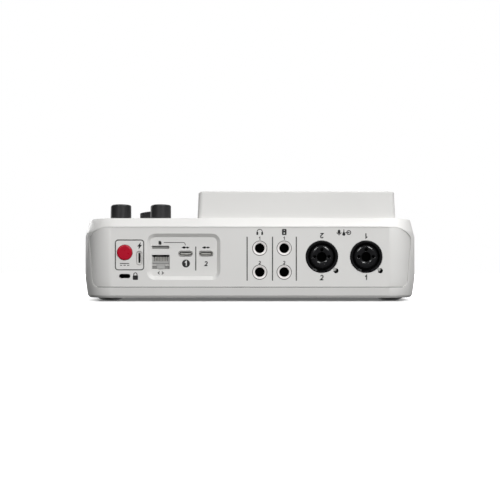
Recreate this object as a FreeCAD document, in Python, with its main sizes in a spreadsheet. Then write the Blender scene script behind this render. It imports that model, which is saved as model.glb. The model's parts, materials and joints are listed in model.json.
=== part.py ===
import FreeCAD, Part
import math
import os
import Sketcher
from FreeCAD import Placement, Rotation, Vector

# Desktop production console with two inputs, four channel strips, six pads and a tilted screen.
# Millimetres, +Z up. The origin is the middle of the footprint, on the surface the feet stand on.
# The user sits at -Y; the connector panel faces +Y; +X is the user's right.
# The control surface falls towards the user: pieces on it are placed by surface(across, along, up).

doc = FreeCAD.newDocument("console")
sheet = doc.addObject("Spreadsheet::Sheet", "dims")

SIZES = {
    # Housing
    "body_width": 227, "rear_face": 124.4, "front_face": -125, "wall": 2.5,
    "corner": 19.1, "corner_bend": 8, "corner_sweep": 23.2,
    "rim_height": 2.2, "skirt_height": 3.8, "seam_height": 9.3, "waist_height": 15, "hull_top": 62,
    "rim_inset": 3.0, "rim_inset_end": 2.6, "skirt_inset": 1.6, "skirt_inset_end": 1.1,
    "seam_inset": 0.8, "plate_gap": 0.15,
    "slope": 5, "surface_height": 46.15, "top_wall": 3.5,
    "crown_half": 111.1, "crown_rear": 117.85, "crown_front": -113.43, "crown_corner": 18,
    "flare_depth": 20, "flare_half": 115.46, "flare_rear": 138.03, "flare_front": -147.6,
    "flare_corner": 34,
    # Rear panel
    "panel_top": 50.3, "panel_bottom": 9.3, "panel_side_top": 110.3, "panel_side_bottom": 107,
    "shoulder_start": 96, "shoulder_middle_x": 105.4, "shoulder_middle_z": 47.7,
    "shoulder_end": 42.4, "panel_foot_corner": 4, "panel_foot_round": 0.3,
    "panel_inset": 0.4, "panel_thickness": 2.2, "seam_gap": 0.12,
    "foot_gap": 0.4,
    "flange_lap": 2, "flange_thickness": 1.5,
    "recess_x": 45.05, "recess_z": 30.1, "recess_width": 49.9, "recess_height": 31.4,
    "recess_corner": 5.8, "recess_depth": 2.5, "recess_slope": 2.4, "recess_wall": 2,
    # Rear connectors
    "board_thickness": 1.6, "io_board_front": 100, "connector_base": 101.6,
    "jack_bore": 3.3, "jack_width": 11.4, "jack_height": 12.6, "jack_block_end": 117,
    "jack_nose": 4.0, "jack_nose_end": 122.5,
    "ferrule_radius": 4.7, "ferrule_hole": 4.9, "ferrule_start": 118.4, "ferrule_end": 124.15,
    "ferrule_dish": 0.4, "ferrule_edge": 0.2, "ferrule_gap": 0.05,
    "phones_x": -6.6, "monitor_x": -23.2, "jack_upper_z": 35.9, "jack_lower_z": 19.7,
    "combo_two_x": -48.7, "combo_one_x": -78.8, "combo_z": 30.15,
    "combo_half": 13.3, "combo_block_end": 120.2, "combo_collar": 10.9, "combo_face": 124.4,
    "combo_bore": 9.3, "combo_bore_floor": 106, "combo_lip": 0.9, "collar_chamfer": 0.35,
    "collar_gap": 0.2, "insert_chamfer": 0.8, "pin_depth": 10,
    "insert_radius": 7.95, "insert_face": 122.6, "pin_circle": 4.8, "pin_hole": 1.3,
    "latch_width": 6.4, "latch_depth": 9,
    "combo_screw_offset": 9.6, "combo_screw_head": 1.55, "combo_screw_shank": 1.1,
    "combo_screw_grip": 6, "combo_screw_rise": 3.7, "combo_screw_edge": 0.3,
    "combo_screw_gap": 0.15,
    "usb_width": 8.94, "usb_height": 3.26, "usb_wall": 0.3, "usb_length": 8,
    "usb_corner": 1.5, "usb_shell_start": 0.3, "usb_setback": 0.3, "slot_corner": 1.8,
    "tongue_width": 6.7, "tongue_height": 0.7, "tongue_corner": 0.2, "tongue_setback": 1.2,
    "usb_one_x": 43.8, "usb_two_x": 29.9, "usb_z": 32.2, "usb_slot_margin": 0.35,
    "supply_x": 75.05, "supply_z": 29.3,
    "ethernet_x": 60.7, "ethernet_z": 26.4, "ethernet_width": 11.7, "ethernet_height": 9.7,
    "shield_half_width": 8, "shield_half_height": 6.6, "shield_setback": 5, "shield_back": 3,
    "throat_drop": 1.75, "step_half": 3.1, "step_drop": 3.5, "plug_latch_half": 1.7,
    "port_gap": 0.15, "port_corner": 0.4,
    "card_x": 60.8, "card_z": 36.5, "card_slot_width": 11.9, "card_slot_height": 2.1,
    "card_frame_width": 14.4, "card_frame_height": 2.6, "card_frame_face": 119.4,
    "card_width": 11.4, "card_height": 1,
    "power_x": 85, "power_z": 33, "power_radius": 5.15, "power_gap": 0.25, "power_face": 125,
    "power_skirt": 113, "power_stem": 2, "power_stem_end": 107, "power_edge": 1,
    "switch_half": 6, "switch_face": 110.8, "switch_floor": 104, "stem_gap": 0.2,
    "lock_x": 85, "lock_z": 17, "lock_width": 7.6, "lock_height": 2.9, "lock_corner": 1.4,
    "lock_plate_width": 16, "lock_plate_height": 9, "lock_plate_start": 118.6,
    "lock_plate_end": 120.1, "lock_plate_lip": 0.2,
    "headset_x": 85, "headset_z": 20, "headset_bore": 1.8, "headset_width": 8,
    "headset_height": 7, "headset_length": 17, "headset_nose": 2.9, "headset_nose_length": 6,
    "headset_gap": 0.1,
    # Control surface
    "deck_half": 108.5, "deck_front": -111, "deck_rear": 115, "deck_corner": 14,
    "deck_thickness": 2, "deck_ledge": 1.5, "deck_gap": 0.15,
    "control_gap": 0.3, "control_flange": 1.2, "flange_top": 2.3, "flange_bottom": 3.3,
    "button_rise": 1.3, "button_stem": 8.6, "button_edge": 0.5, "plunger_radius": 1.6,
    "channel_first": -88, "channel_pitch": 28,
    "select_along": 12, "listen_along": -1, "mute_along": -12,
    "select_width": 20, "select_length": 9, "small_button_length": 7, "button_corner": 1.6,
    "fader_along": -66, "fader_slot": 70, "fader_slot_width": 2.4,
    "cap_length": 22, "cap_width": 11.5, "cap_base": 1, "cap_top": 9.6, "cap_waist": 7.6,
    "cap_lip": 1, "cap_rim": 4, "cap_saddle": 2,
    "lever_thickness": 1.2, "lever_length": 5, "lever_end": 8, "lever_corner": 0.4,
    "fader_body_width": 9, "fader_body_length": 84, "fader_body_top": 2.6,
    "fader_track_width": 2.2, "fader_track_floor": 0.8, "control_corner": 1,
    "pad_left": 41, "pad_right": 81, "pad_first": -14, "pad_pitch": 36,
    "pad_width": 36, "pad_length": 31, "pad_corner": 3, "pad_rise": 2.4,
    "bank_along": 16, "bank_width": 16, "bank_length": 7,
    "record_across": 95.5, "record_along": 58, "record_radius": 9.4,
    "encoder_across": 68.85, "encoder_along": 58, "encoder_radius": 10.6, "encoder_top": 10.9,
    "encoder_base": 1.4, "flute_pitch": 1.3, "flute_depth": 0.35, "flute_overlap": 0.1,
    "encoder_wall": 1.3, "encoder_shoulder": 0.8, "encoder_edge": 0.6, "encoder_dome": 5,
    "encoder_shaft_end": 6, "plunger_top": 6.2, "plunger_bottom": 9.4,
    "encoder_plunger_radius": 2.2, "encoder_hole": 10.2,
    "ring_inner": 11.3, "ring_outer": 13.6, "ring_depth": 1.2, "ring_rise": 0.3,
    "phones_one_across": 89.8, "phones_two_across": 62.1, "phones_along": 98,
    "knob_radius": 7.1, "knob_base": 0.8, "knob_top": 11.2, "knob_round": 1.1,
    "shaft_radius": 3, "shaft_gap": 0.1, "shaft_end": 8, "bushing_radius": 4.2,
    "knob_draft": 0.1, "pot_hole": 9, "rotary_width": 12, "rotary_top": 3.6, "bushing_top": 0.3,
    "bushing_gap": 0.2,
    # Screen housing
    "screen_middle": -31.8, "screen_width": 135.7, "screen_draft": 0.047, "screen_rear": 115,
    "screen_front": 27, "screen_base": 57, "screen_corner": 2.5, "screen_height": 75.3,
    "screen_tilt": 14.5, "screen_wall": 2.2, "screen_top_wall": 2.6, "screen_edge": 0.9,
    "glass_width": 127, "glass_length": 83, "glass_corner": 2.5, "glass_thickness": 1.1,
    "window_width": 122.4, "window_length": 69.2, "window_corner": 1, "window_along": -45.5,
    "glass_gap": 0.15, "module_gap": 0.2, "module_thickness": 2.4,
    # Inside and underneath
    "plate_thickness": 2, "foot_radius": 8.95, "foot_sole": 4.5, "foot_across": 95.9,
    "foot_along": 108, "screw_across": 103, "screw_head": 2.8, "screw_shank": 1.25,
    "screw_head_height": 0.4, "screw_cone": 1.9, "screw_length": 9, "sink_gap": 0.1,
    "screw_hole_top": 12, "boss_radius": 4, "boss_top": 24, "rib_reach": 110.4,
    "rib_thickness": 2.4, "main_board_height": 10, "control_board_depth": 12,
    "main_board_half": 95, "main_board_front": -60, "main_board_rear": 98,
    "io_board_left": -100, "io_board_right": 96, "io_board_bottom": 12, "io_board_top": 42,
    "deck_board_width": 198, "deck_board_length": 132, "deck_board_along": -42,
    "strip_width": 60, "strip_length": 100, "strip_across": 69, "strip_along": 61,
    "board_corner": 3, "board_post_radius": 3, "deck_post_radius": 2,
}

for row, (alias, amount) in enumerate(SIZES.items(), start=1):
    sheet.set(f"A{row}", alias.replace("_", " "))
    sheet.set(f"B{row}", str(amount))
    sheet.setAlias(f"B{row}", alias)
doc.recompute()

nodes = []


# ---------------------------------------------------------------- helpers

def number(expression):
    """The number that an expression over the sheet gives."""
    return float(sheet.evalExpression(str(expression)))


def node(item, label):
    """Register an object as one sub-part of the console."""
    item.Label = label
    nodes.append(item)
    return item


def surface(across=0, along=0, up=0):
    """Placement on the sloping control surface."""
    tilt = Rotation(Vector(1, 0, 0), number("dims.slope"))
    offset = Vector(number(across), number(along), number(up))
    return Placement(Vector(0, 0, number("dims.surface_height")) + tilt.multVec(offset), tilt)


def rearward(x, y, z):
    """Placement that turns a piece's own +Z to face out of the connector panel."""
    return Placement(Vector(number(x), number(y), number(z)), Rotation(Vector(1, 0, 0), -90))


def dimension(sketch, kind, expression, *where):
    """Constraint of a sketch whose value follows an expression."""
    index = sketch.addConstraint(Sketcher.Constraint(kind, *where, number(expression)))
    sketch.setExpression(f"Constraints[{index}]", str(expression))


def rounded_rectangle(sketch, width, length, radius, across=0, along=0):
    """Closed rectangle with round corners, centred at across, along."""
    bend = number(radius)
    reach_x = number(width) / 2 - bend
    reach_y = number(length) / 2 - bend
    signs = ((1, 1), (-1, 1), (-1, -1), (1, -1))
    arcs = []
    for quarter, (side, end) in enumerate(signs):
        hub = Vector(number(across) + side * reach_x, number(along) + end * reach_y, 0)
        start = quarter * math.pi / 2
        circle = Part.Circle(hub, Vector(0, 0, 1), bend)
        arcs.append(sketch.addGeometry(Part.ArcOfCircle(circle, start, start + math.pi / 2), False))
    for quarter, arc in enumerate(arcs):
        following = arcs[(quarter + 1) % 4]
        edge = Part.LineSegment(sketch.getPoint(arc, 2), sketch.getPoint(following, 1))
        line = sketch.addGeometry(edge, False)
        sketch.addConstraint(Sketcher.Constraint("Tangent", arc, 2, line, 1))
        sketch.addConstraint(Sketcher.Constraint("Tangent", line, 2, following, 1))
    for arc, (side, end) in zip(arcs, signs):
        dimension(sketch, "Radius", radius, arc)
        hub_x = f"({across}) + {side} * (({width}) / 2 - ({radius}))"
        hub_y = f"({along}) + {end} * (({length}) / 2 - ({radius}))"
        dimension(sketch, "DistanceX", hub_x, -1, 1, arc, 3)
        dimension(sketch, "DistanceY", hub_y, -1, 1, arc, 3)


def soft_rectangle(sketch, width, length, reach, bend, sweep, across=0, along=0):
    """Closed rectangle whose corners turn in three arcs: tight, wide, tight."""
    tight, wide, span = number(bend), number(sweep), number(reach)
    turn = math.acos((span - tight) / (wide - tight) / math.sqrt(2)) - math.pi / 4
    back = span + (wide - tight) * math.sin(turn)
    runs = []
    for quarter, (side, end) in enumerate(((1, 1), (-1, 1), (-1, -1), (1, -1))):
        start = quarter * math.pi / 2
        u = (round(math.cos(start)), round(math.sin(start)))
        v = (-u[1], u[0])
        corner = Vector(number(across) + side * number(width) / 2,
                        number(along) + end * number(length) / 2, 0)
        first = corner - Vector(tight * u[0] + span * v[0], tight * u[1] + span * v[1], 0)
        middle = corner - Vector(back * (u[0] + v[0]), back * (u[1] + v[1]), 0)
        last = corner - Vector(span * u[0] + tight * v[0], span * u[1] + tight * v[1], 0)
        run = []
        for hub, radius, low, high in (
                (first, tight, start, start + turn),
                (middle, wide, start + turn, start + math.pi / 2 - turn),
                (last, tight, start + math.pi / 2 - turn, start + math.pi / 2)):
            circle_form = Part.Circle(hub, Vector(0, 0, 1), radius)
            run.append(sketch.addGeometry(Part.ArcOfCircle(circle_form, low, high), False))
        sketch.addConstraint(Sketcher.Constraint("Tangent", run[0], 2, run[1], 1))
        sketch.addConstraint(Sketcher.Constraint("Tangent", run[1], 2, run[2], 1))
        runs.append((run, side, end, u, v))
    for index, (run, *_) in enumerate(runs):
        following = runs[(index + 1) % 4][0]
        edge = Part.LineSegment(sketch.getPoint(run[2], 2), sketch.getPoint(following[0], 1))
        line = sketch.addGeometry(edge, False)
        sketch.addConstraint(Sketcher.Constraint("Tangent", run[2], 2, line, 1))
        sketch.addConstraint(Sketcher.Constraint("Tangent", line, 2, following[0], 1))
    for run, side, end, u, v in runs:
        for arc, near, far in ((run[0], bend, reach), (run[2], reach, bend)):
            dimension(sketch, "Radius", bend, arc)
            dimension(sketch, "DistanceX", f"({across}) + {side} * ({width}) / 2"
                      f" - {u[0]} * ({near}) - {v[0]} * ({far})", -1, 1, arc, 3)
            dimension(sketch, "DistanceY", f"({along}) + {end} * ({length}) / 2"
                      f" - {u[1]} * ({near}) - {v[1]} * ({far})", -1, 1, arc, 3)
        dimension(sketch, "Radius", sweep, run[1])


def polygon(sketch, corners):
    """Closed outline of straight edges; each corner is a pair of expressions."""
    points = [Vector(number(x), number(y), 0) for x, y in corners]
    lines = []
    for index, point in enumerate(points):
        edge = Part.LineSegment(point, points[(index + 1) % len(points)])
        lines.append(sketch.addGeometry(edge, False))
    for index, line in enumerate(lines):
        following = lines[(index + 1) % len(lines)]
        sketch.addConstraint(Sketcher.Constraint("Coincident", line, 2, following, 1))
    for line, (x, y) in zip(lines, corners):
        dimension(sketch, "DistanceX", x, -1, 1, line, 1)
        dimension(sketch, "DistanceY", y, -1, 1, line, 1)


def circle(sketch, radius, across=0, along=0):
    """Full circle centred at across, along."""
    hub = Vector(number(across), number(along), 0)
    index = sketch.addGeometry(Part.Circle(hub, Vector(0, 0, 1), number(radius)), False)
    dimension(sketch, "Radius", radius, index)
    dimension(sketch, "DistanceX", across, -1, 1, index, 3)
    dimension(sketch, "DistanceY", along, -1, 1, index, 3)


def new_body(name):
    """Empty PartDesign body."""
    return doc.addObject("PartDesign::Body", name)


def sketch_on(body, role, height=0):
    """Sketch on one of the body's own origin planes, lifted along the plane's normal."""
    plane = next(item for item in body.Origin.OriginFeatures if item.Role == role)
    sketch = body.newObject("Sketcher::SketchObject", body.Name + "_sketch")
    sketch.AttachmentSupport = [(plane, "")]
    sketch.MapMode = "FlatFace"
    sketch.setExpression("AttachmentOffset.Base.z", str(height))
    return sketch


def feature(body, kind, sketch, **sizes):
    """Sketch-based feature of a body, with its sizes bound to expressions."""
    item = body.newObject(f"PartDesign::{kind}", f"{body.Name}_{kind.lower()}")
    item.Profile = sketch
    for name, expression in sizes.items():
        item.setExpression(name, str(expression))
    return item


def add_slab(body, width, length, radius, low, high, across=0, along=0):
    """Pad a rounded rectangle from height low to height high."""
    sketch = sketch_on(body, "XY_Plane", low)
    rounded_rectangle(sketch, width, length, radius, across, along)
    return feature(body, "Pad", sketch, Length=f"({high}) - ({low})")


def add_disc(body, radius, low, high):
    """Pad a circle from height low to height high."""
    sketch = sketch_on(body, "XY_Plane", low)
    circle(sketch, radius)
    return feature(body, "Pad", sketch, Length=f"({high}) - ({low})")


def round_top(body, radius):
    """Round every edge of the body's highest face."""
    doc.recompute()
    base = body.Tip
    top = base.Shape.BoundBox.ZMax - 1e-4
    names = [f"Edge{n}" for n, edge in enumerate(base.Shape.Edges, start=1)
             if edge.BoundBox.ZMin > top]
    fillet = body.newObject("PartDesign::Fillet", body.Name + "_fillet")
    fillet.Base = (base, names)
    fillet.setExpression("Radius", str(radius))
    return fillet


def slab(name, width, length, radius, low, high, across=0, along=0):
    """Body that is one rounded plate."""
    body = new_body(name)
    add_slab(body, width, length, radius, low, high, across, along)
    return body


def turned(name, profile):
    """Body turned about its own Z axis from a profile of (radius, height) corners."""
    body = new_body(name)
    sketch = sketch_on(body, "XZ_Plane")
    polygon(sketch, profile)
    item = feature(body, "Revolution", sketch)
    item.ReferenceAxis = (sketch, ["V_Axis"])
    item.Angle = 360
    return body


def box(name, x, y, z):
    """Box between pairs of expressions along each axis."""
    item = doc.addObject("Part::Box", name)
    for axis, side, (low, high) in zip("xyz", ("Length", "Width", "Height"), (x, y, z)):
        item.setExpression(side, f"({high}) - ({low})")
        item.setExpression(f"Placement.Base.{axis}", str(low))
    return item


def rod(name, radius, start, end, x, z):
    """Cylinder along Y."""
    item = doc.addObject("Part::Cylinder", name)
    item.setExpression("Radius", str(radius))
    item.setExpression("Height", f"({end}) - ({start})")
    item.Placement = rearward(x, start, z)
    return item


def slot_tool(name, width, height, radius, start, end, x, z):
    """Rounded bar along Y, used to cut an opening."""
    item = slab(name, width, height, radius, 0, f"({end}) - ({start})")
    item.Placement = rearward(x, start, z)
    return item


def joined(kind, name, *items):
    """Boolean or compound of several objects."""
    item = doc.addObject(f"Part::{kind}", name)
    setattr(item, "Links" if kind == "Compound" else "Shapes", list(items))
    return item


def cut(name, base, *tools):
    """Base with every tool cut away."""
    item = doc.addObject("Part::Cut", name)
    item.Base = base
    item.Tool = tools[0] if len(tools) == 1 else joined("MultiFuse", name + "_tools", *tools)
    return item


def group(label, *items):
    """Several identical solids that share one node."""
    return node(joined("Compound", label, *items), label)


# ---------------------------------------------------------------- housing forms

def loft(name, sections, draw=rounded_rectangle):
    """Ruled solid through outlines, each given as its placement and what draw takes."""
    sketches = []
    for placement, *outline_sizes in sections:
        sketch = doc.addObject("Sketcher::SketchObject", name + "_section")
        sketch.Placement = placement
        draw(sketch, *outline_sizes)
        sketches.append(sketch)
    item = doc.addObject("Part::Loft", name)
    item.Sections = sketches
    item.Solid = True
    item.Ruled = True
    return item


def hull(name, inset, floor="dims.rim_height"):
    """Plan form of the housing, tapered below the waist, moved inwards by inset."""
    levels = (
        (floor, "dims.rim_inset", "dims.rim_inset_end"),
        ("dims.skirt_height", "dims.skirt_inset", "dims.skirt_inset_end"),
        ("dims.seam_height", "dims.seam_inset", 0),
        ("dims.waist_height", 0, 0),
        ("dims.hull_top", 0, 0),
    )
    sections = []
    for height, side_taper, end_taper in levels:
        margin = f"({inset} + ({side_taper} + {end_taper}) / 2)"
        sections.append((
            Placement(Vector(0, 0, number(height)), Rotation()),
            f"dims.body_width - 2 * ({inset} + {side_taper})",
            f"dims.rear_face - dims.front_face - 2 * ({inset} + {end_taper})",
            f"dims.corner - {margin}",
            f"dims.corner_bend - {margin}",
            f"dims.corner_sweep - {margin}",
            0,
            "(dims.rear_face + dims.front_face) / 2",
        ))
    return loft(name, sections, soft_rectangle)


def crown(name, drop, side_inset):
    """Sloping top with its bevels: flares out from the control surface downwards."""
    levels = (
        (0, "dims.crown_half", "dims.crown_front", "dims.crown_rear", "dims.crown_corner"),
        ("dims.flare_depth", "dims.flare_half", "dims.flare_front", "dims.flare_rear",
         "dims.flare_corner"),
        ("3 * dims.flare_depth", "3 * dims.flare_half - 2 * dims.crown_half",
         "3 * dims.flare_front - 2 * dims.crown_front", "3 * dims.flare_rear - 2 * dims.crown_rear",
         "3 * dims.flare_corner - 2 * dims.crown_corner"),
    )
    sections = []
    for depth, half, front, rear, radius in levels:
        sections.append((
            surface(0, 0, f"-({depth}) - ({drop})"),
            f"2 * ({half}) - 2 * ({side_inset})",
            f"({rear}) - ({front})",
            f"{radius}",
            0,
            f"(({rear}) + ({front})) / 2",
        ))
    return loft(name, sections)


def panel_outline():
    """Edge of the opening for the rear panel, drawn in the XZ plane."""
    sketch = doc.addObject("Sketcher::SketchObject", "panel_outline")
    sketch.Placement = Placement(Vector(0, 0, 0), Rotation(Vector(1, 0, 0), 90))
    top, bottom = number("dims.panel_top"), number("dims.panel_bottom")
    start, end = number("dims.shoulder_start"), number("dims.shoulder_end")
    side_top, side_bottom = number("dims.panel_side_top"), number("dims.panel_side_bottom")
    middle_x, middle_z = number("dims.shoulder_middle_x"), number("dims.shoulder_middle_z")
    for side in (1, -1):
        shoulder = Part.Arc(
            Vector(side * start, top, 0),
            Vector(side * middle_x, middle_z, 0),
            Vector(side * side_top, end, 0),
        )
        sketch.addGeometry(shoulder, False)
        lean = (side_top - side_bottom) / (end - bottom)
        foot = number("dims.panel_foot_corner")
        above = Vector(side * (side_bottom + lean * foot), bottom + foot, 0)
        inner = number("dims.panel_foot_round") * foot
        corner = Vector(side * (side_bottom - inner), bottom + inner, 0)
        inward = Vector(side * (side_bottom - foot), bottom, 0)
        sketch.addGeometry(Part.LineSegment(Vector(side * side_top, end, 0), above), False)
        sketch.addGeometry(Part.Arc(above, corner, inward), False)
    sketch.addGeometry(Part.LineSegment(Vector(-start, top, 0), Vector(start, top, 0)), False)
    across = side_bottom - number("dims.panel_foot_corner")
    sketch.addGeometry(
        Part.LineSegment(Vector(-across, bottom, 0), Vector(across, bottom, 0)), False)
    return sketch


def panel_prism(name, outline, grow):
    """Panel outline, offset by grow, swept through the rear wall."""
    edge = outline
    if number(grow):
        edge = doc.addObject("Part::Offset2D", name + "_offset")
        edge.Source = outline
        edge.setExpression("Value", str(grow))
        edge.Join = 0
    prism = doc.addObject("Part::Extrusion", name)
    prism.Base = edge
    prism.DirMode = "Custom"
    prism.Dir = Vector(0, 1, 0)
    prism.LengthFwd = 2 * number("dims.rear_face - dims.io_board_front")
    prism.Solid = True
    prism.Placement = Placement(Vector(0, number("dims.io_board_front"), 0), Rotation())
    return prism


# ---------------------------------------------------------------- rear connectors

JACKS = {
    "headphone_jacks": "dims.phones_x",
    "monitor_jacks": "dims.monitor_x",
}
JACK_HEIGHTS = ("dims.jack_upper_z", "dims.jack_lower_z")
COMBOS = {"combo_jack_1": "dims.combo_one_x", "combo_jack_2": "dims.combo_two_x"}


def panel_openings():
    """Bars that cut the holes of the rear panel."""
    start, end = "dims.io_board_front", "dims.rear_face + 5"
    recess_floor = "dims.rear_face - dims.panel_inset - dims.recess_depth"
    usb_width = "dims.usb_width + 2 * dims.usb_slot_margin"
    usb_height = "dims.usb_height + 2 * dims.usb_slot_margin"
    tools = [
        rod("power_hole", "dims.power_radius + dims.power_gap", start, end,
            "dims.power_x", "dims.power_z"),
        slot_tool("supply_slot", usb_height, usb_width, "dims.slot_corner", start, end,
                  "dims.supply_x", "dims.supply_z"),
        slot_tool("lock_hole", "dims.lock_width", "dims.lock_height", "dims.lock_corner",
                  start, end, "dims.lock_x", "dims.lock_z"),
        slot_tool("ethernet_hole", "dims.ethernet_width + 2 * dims.port_gap",
                  "dims.ethernet_height + 2 * dims.port_gap", "dims.port_corner",
                  start, end, "dims.ethernet_x", "dims.ethernet_z"),
        slot_tool("card_hole", "dims.card_slot_width", "dims.card_slot_height",
                  "dims.port_corner", start, end, "dims.card_x", "dims.card_z"),
        slot_tool("usb_hole_1", usb_width, usb_height, "dims.slot_corner", start, end,
                  "dims.usb_one_x", "dims.usb_z"),
        slot_tool("usb_hole_2", usb_width, usb_height, "dims.slot_corner", start, end,
                  "dims.usb_two_x", "dims.usb_z"),
    ]
    for index, x in enumerate(JACKS.values()):
        for level, z in enumerate(JACK_HEIGHTS):
            tools.append(rod(f"ferrule_hole_{index}{level}", "dims.ferrule_hole", start, end, x, z))
    for label, x in COMBOS.items():
        tools.append(rod(label + "_hole", "dims.combo_collar + dims.collar_gap", start, end, x,
                         "dims.combo_z"))
        tools.append(rod(label + "_screw_hole", "dims.combo_screw_head + dims.combo_screw_gap",
                         start, end,
                         f"{x} - dims.combo_screw_offset",
                         "dims.combo_z - dims.combo_screw_offset"))
    mouth = (rearward("dims.recess_x", "dims.rear_face - dims.panel_inset", "dims.recess_z"),
             "dims.recess_width", "dims.recess_height", "dims.recess_corner")
    floor = (rearward("dims.recess_x", recess_floor, "dims.recess_z"),
             "dims.recess_width - 2 * dims.recess_slope",
             "dims.recess_height - 2 * dims.recess_slope",
             "dims.recess_corner - dims.recess_slope")
    tools.append(loft("recess", (floor, mouth)))
    return tools


def rear_panel(outline):
    """Inset panel that wraps round the rear corners, with its connector recess and flange."""
    foot_trim = box("panel_foot_trim", ("-dims.body_width", "dims.body_width"),
                    (0, "dims.rear_face + 1"),
                    ("dims.panel_bottom - 1", "dims.panel_bottom + dims.foot_gap"))
    thickness = "dims.panel_inset + dims.panel_thickness"
    flange_depth = f"{thickness} + dims.flange_thickness"
    skin = cut("panel_skin",
               joined("MultiCommon", "panel_skin_form",
                      panel_prism("panel_face", outline, "-dims.seam_gap"),
                      hull("panel_outer", "dims.panel_inset")),
               hull("panel_inner", thickness, 0), foot_trim)
    flange = cut("panel_flange",
                 joined("MultiCommon", "panel_flange_form",
                        panel_prism("panel_back", outline, "dims.flange_lap"),
                        hull("flange_outer", thickness, 0),
                        crown("flange_crown", "dims.top_wall + 0.2", "dims.wall - 0.5")),
                 hull("flange_inner", flange_depth, -1))
    tub_start = "dims.rear_face - dims.panel_inset - dims.recess_depth - dims.recess_wall"
    tub = box("recess_tub",
              ("dims.recess_x - dims.recess_width / 2", "dims.recess_x + dims.recess_width / 2"),
              (tub_start, "dims.rear_face - dims.panel_inset - 0.5"),
              ("dims.recess_z - dims.recess_height / 2",
               "dims.recess_z + dims.recess_height / 2"))
    blank = joined("MultiFuse", "panel_blank", skin, flange, tub)
    return node(cut("rear_panel", blank, *panel_openings()), "rear_panel")


def ring_profile(inner, outer, low, high):
    """Corners of a plain ring's section."""
    return ((inner, low), (outer, low), (outer, high), (inner, high))


def phone_jack(name, x, z):
    """6.35 mm jack socket: block on the board and threaded nose, with an open bore."""
    half_width, half_height = "dims.jack_width / 2", "dims.jack_height / 2"
    block = box(name + "_block", (f"{x} - {half_width}", f"{x} + {half_width}"),
                ("dims.connector_base", "dims.jack_block_end"),
                (f"{z} - {half_height}", f"{z} + {half_height}"))
    nose = rod(name + "_nose", "dims.jack_nose", "dims.connector_base + 1",
               "dims.jack_nose_end", x, z)
    bore = rod(name + "_bore", "dims.jack_bore", "dims.connector_base - 1",
               "dims.jack_nose_end + 1", x, z)
    return cut(name, joined("MultiFuse", name + "_solid", block, nose), bore)


def jack_ferrule(name, x, z):
    """Dished ring that finishes a jack's nose in the panel."""
    length = "dims.ferrule_end - dims.ferrule_start"
    body = turned(name, (
        ("dims.jack_nose + dims.ferrule_gap", 0),
        ("dims.ferrule_radius", 0),
        ("dims.ferrule_radius", length),
        ("dims.ferrule_radius - dims.ferrule_edge", length),
        ("dims.jack_bore", f"{length} - dims.ferrule_dish"),
        ("dims.jack_bore", "dims.jack_nose_end - dims.ferrule_start"),
        ("dims.jack_nose + dims.ferrule_gap", "dims.jack_nose_end - dims.ferrule_start"),
    ))
    body.Placement = rearward(x, "dims.ferrule_start", z)
    return body


def combo_jack(label, x):
    """Black input shell: block behind the panel, collar through it, bore and latch notch."""
    z = "dims.combo_z"
    block = box(label + "_block", (f"{x} - dims.combo_half", f"{x} + dims.combo_half"),
                ("dims.combo_bore_floor", "dims.combo_block_end"),
                (f"{z} - dims.combo_half", f"{z} + dims.combo_half"))
    rise = "dims.combo_face - dims.combo_block_end"
    collar = turned(label + "_collar", (
        (0, 0),
        ("dims.combo_collar", 0),
        ("dims.combo_collar", f"{rise} - dims.collar_chamfer"),
        ("dims.combo_collar - dims.collar_chamfer", rise),
        (0, rise),
    ))
    collar.Placement = rearward(x, "dims.combo_block_end", z)
    depth = "dims.combo_face - dims.combo_bore_floor + 1"
    bore = turned(label + "_bore", (
        (0, 0),
        ("dims.combo_bore", 0),
        ("dims.combo_bore", f"{depth} - dims.combo_lip"),
        ("dims.combo_bore + dims.combo_lip", depth),
        ("dims.combo_bore + dims.combo_lip", f"{depth} + 1"),
        (0, f"{depth} + 1"),
    ))
    bore.Placement = rearward(x, "dims.combo_bore_floor - 1", z)
    latch = box(label + "_latch", (f"{x} - dims.latch_width / 2", f"{x} + dims.latch_width / 2"),
                ("dims.combo_face - dims.latch_depth", "dims.combo_face + 1"),
                (f"{z} - dims.combo_collar + 0.5", f"{z} - dims.insert_radius"))
    screw_way = rod(label + "_screw_way", "dims.combo_screw_shank",
                    "dims.combo_block_end - dims.combo_screw_grip - 1",
                    "dims.combo_block_end + 1", f"{x} - dims.combo_screw_offset",
                    f"{z} - dims.combo_screw_offset")
    solid = joined("MultiFuse", label + "_solid", block, collar)
    return node(cut(label, solid, bore, latch, screw_way), label)


def combo_insert(name, x):
    """Contact insert in the middle of an input socket: jack hole and three pin holes."""
    z = "dims.combo_z"
    height = "dims.insert_face - dims.combo_bore_floor"
    core = turned(name + "_core", (
        ("dims.jack_bore", 0),
        ("dims.insert_radius", 0),
        ("dims.insert_radius", f"{height} - dims.insert_chamfer"),
        ("dims.insert_radius - dims.insert_chamfer", height),
        ("dims.jack_bore", height),
    ))
    core.Placement = rearward(x, "dims.combo_bore_floor", z)
    pins = []
    for index, (side, up) in enumerate(((1, 0), (0, 1), (-1, 0))):
        pins.append(rod(f"{name}_pin_{index}", "dims.pin_hole", "dims.insert_face - dims.pin_depth",
                        "dims.insert_face + 1", f"{x} + {side} * dims.pin_circle",
                        f"{z} + {up} * dims.pin_circle"))
    return cut(name, core, *pins)


def combo_carrier(name, x):
    """Terminal block between the connector board and an input socket's shell and insert."""
    z = "dims.combo_z"
    block = box(name + "_block", (f"{x} - dims.combo_half", f"{x} + dims.combo_half"),
                ("dims.connector_base", "dims.combo_bore_floor"),
                (f"{z} - dims.combo_half", f"{z} + dims.combo_half"))
    way = rod(name + "_way", "dims.jack_bore", "dims.connector_base - 1",
              "dims.combo_bore_floor + 1", x, z)
    return cut(name, block, way)


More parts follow.
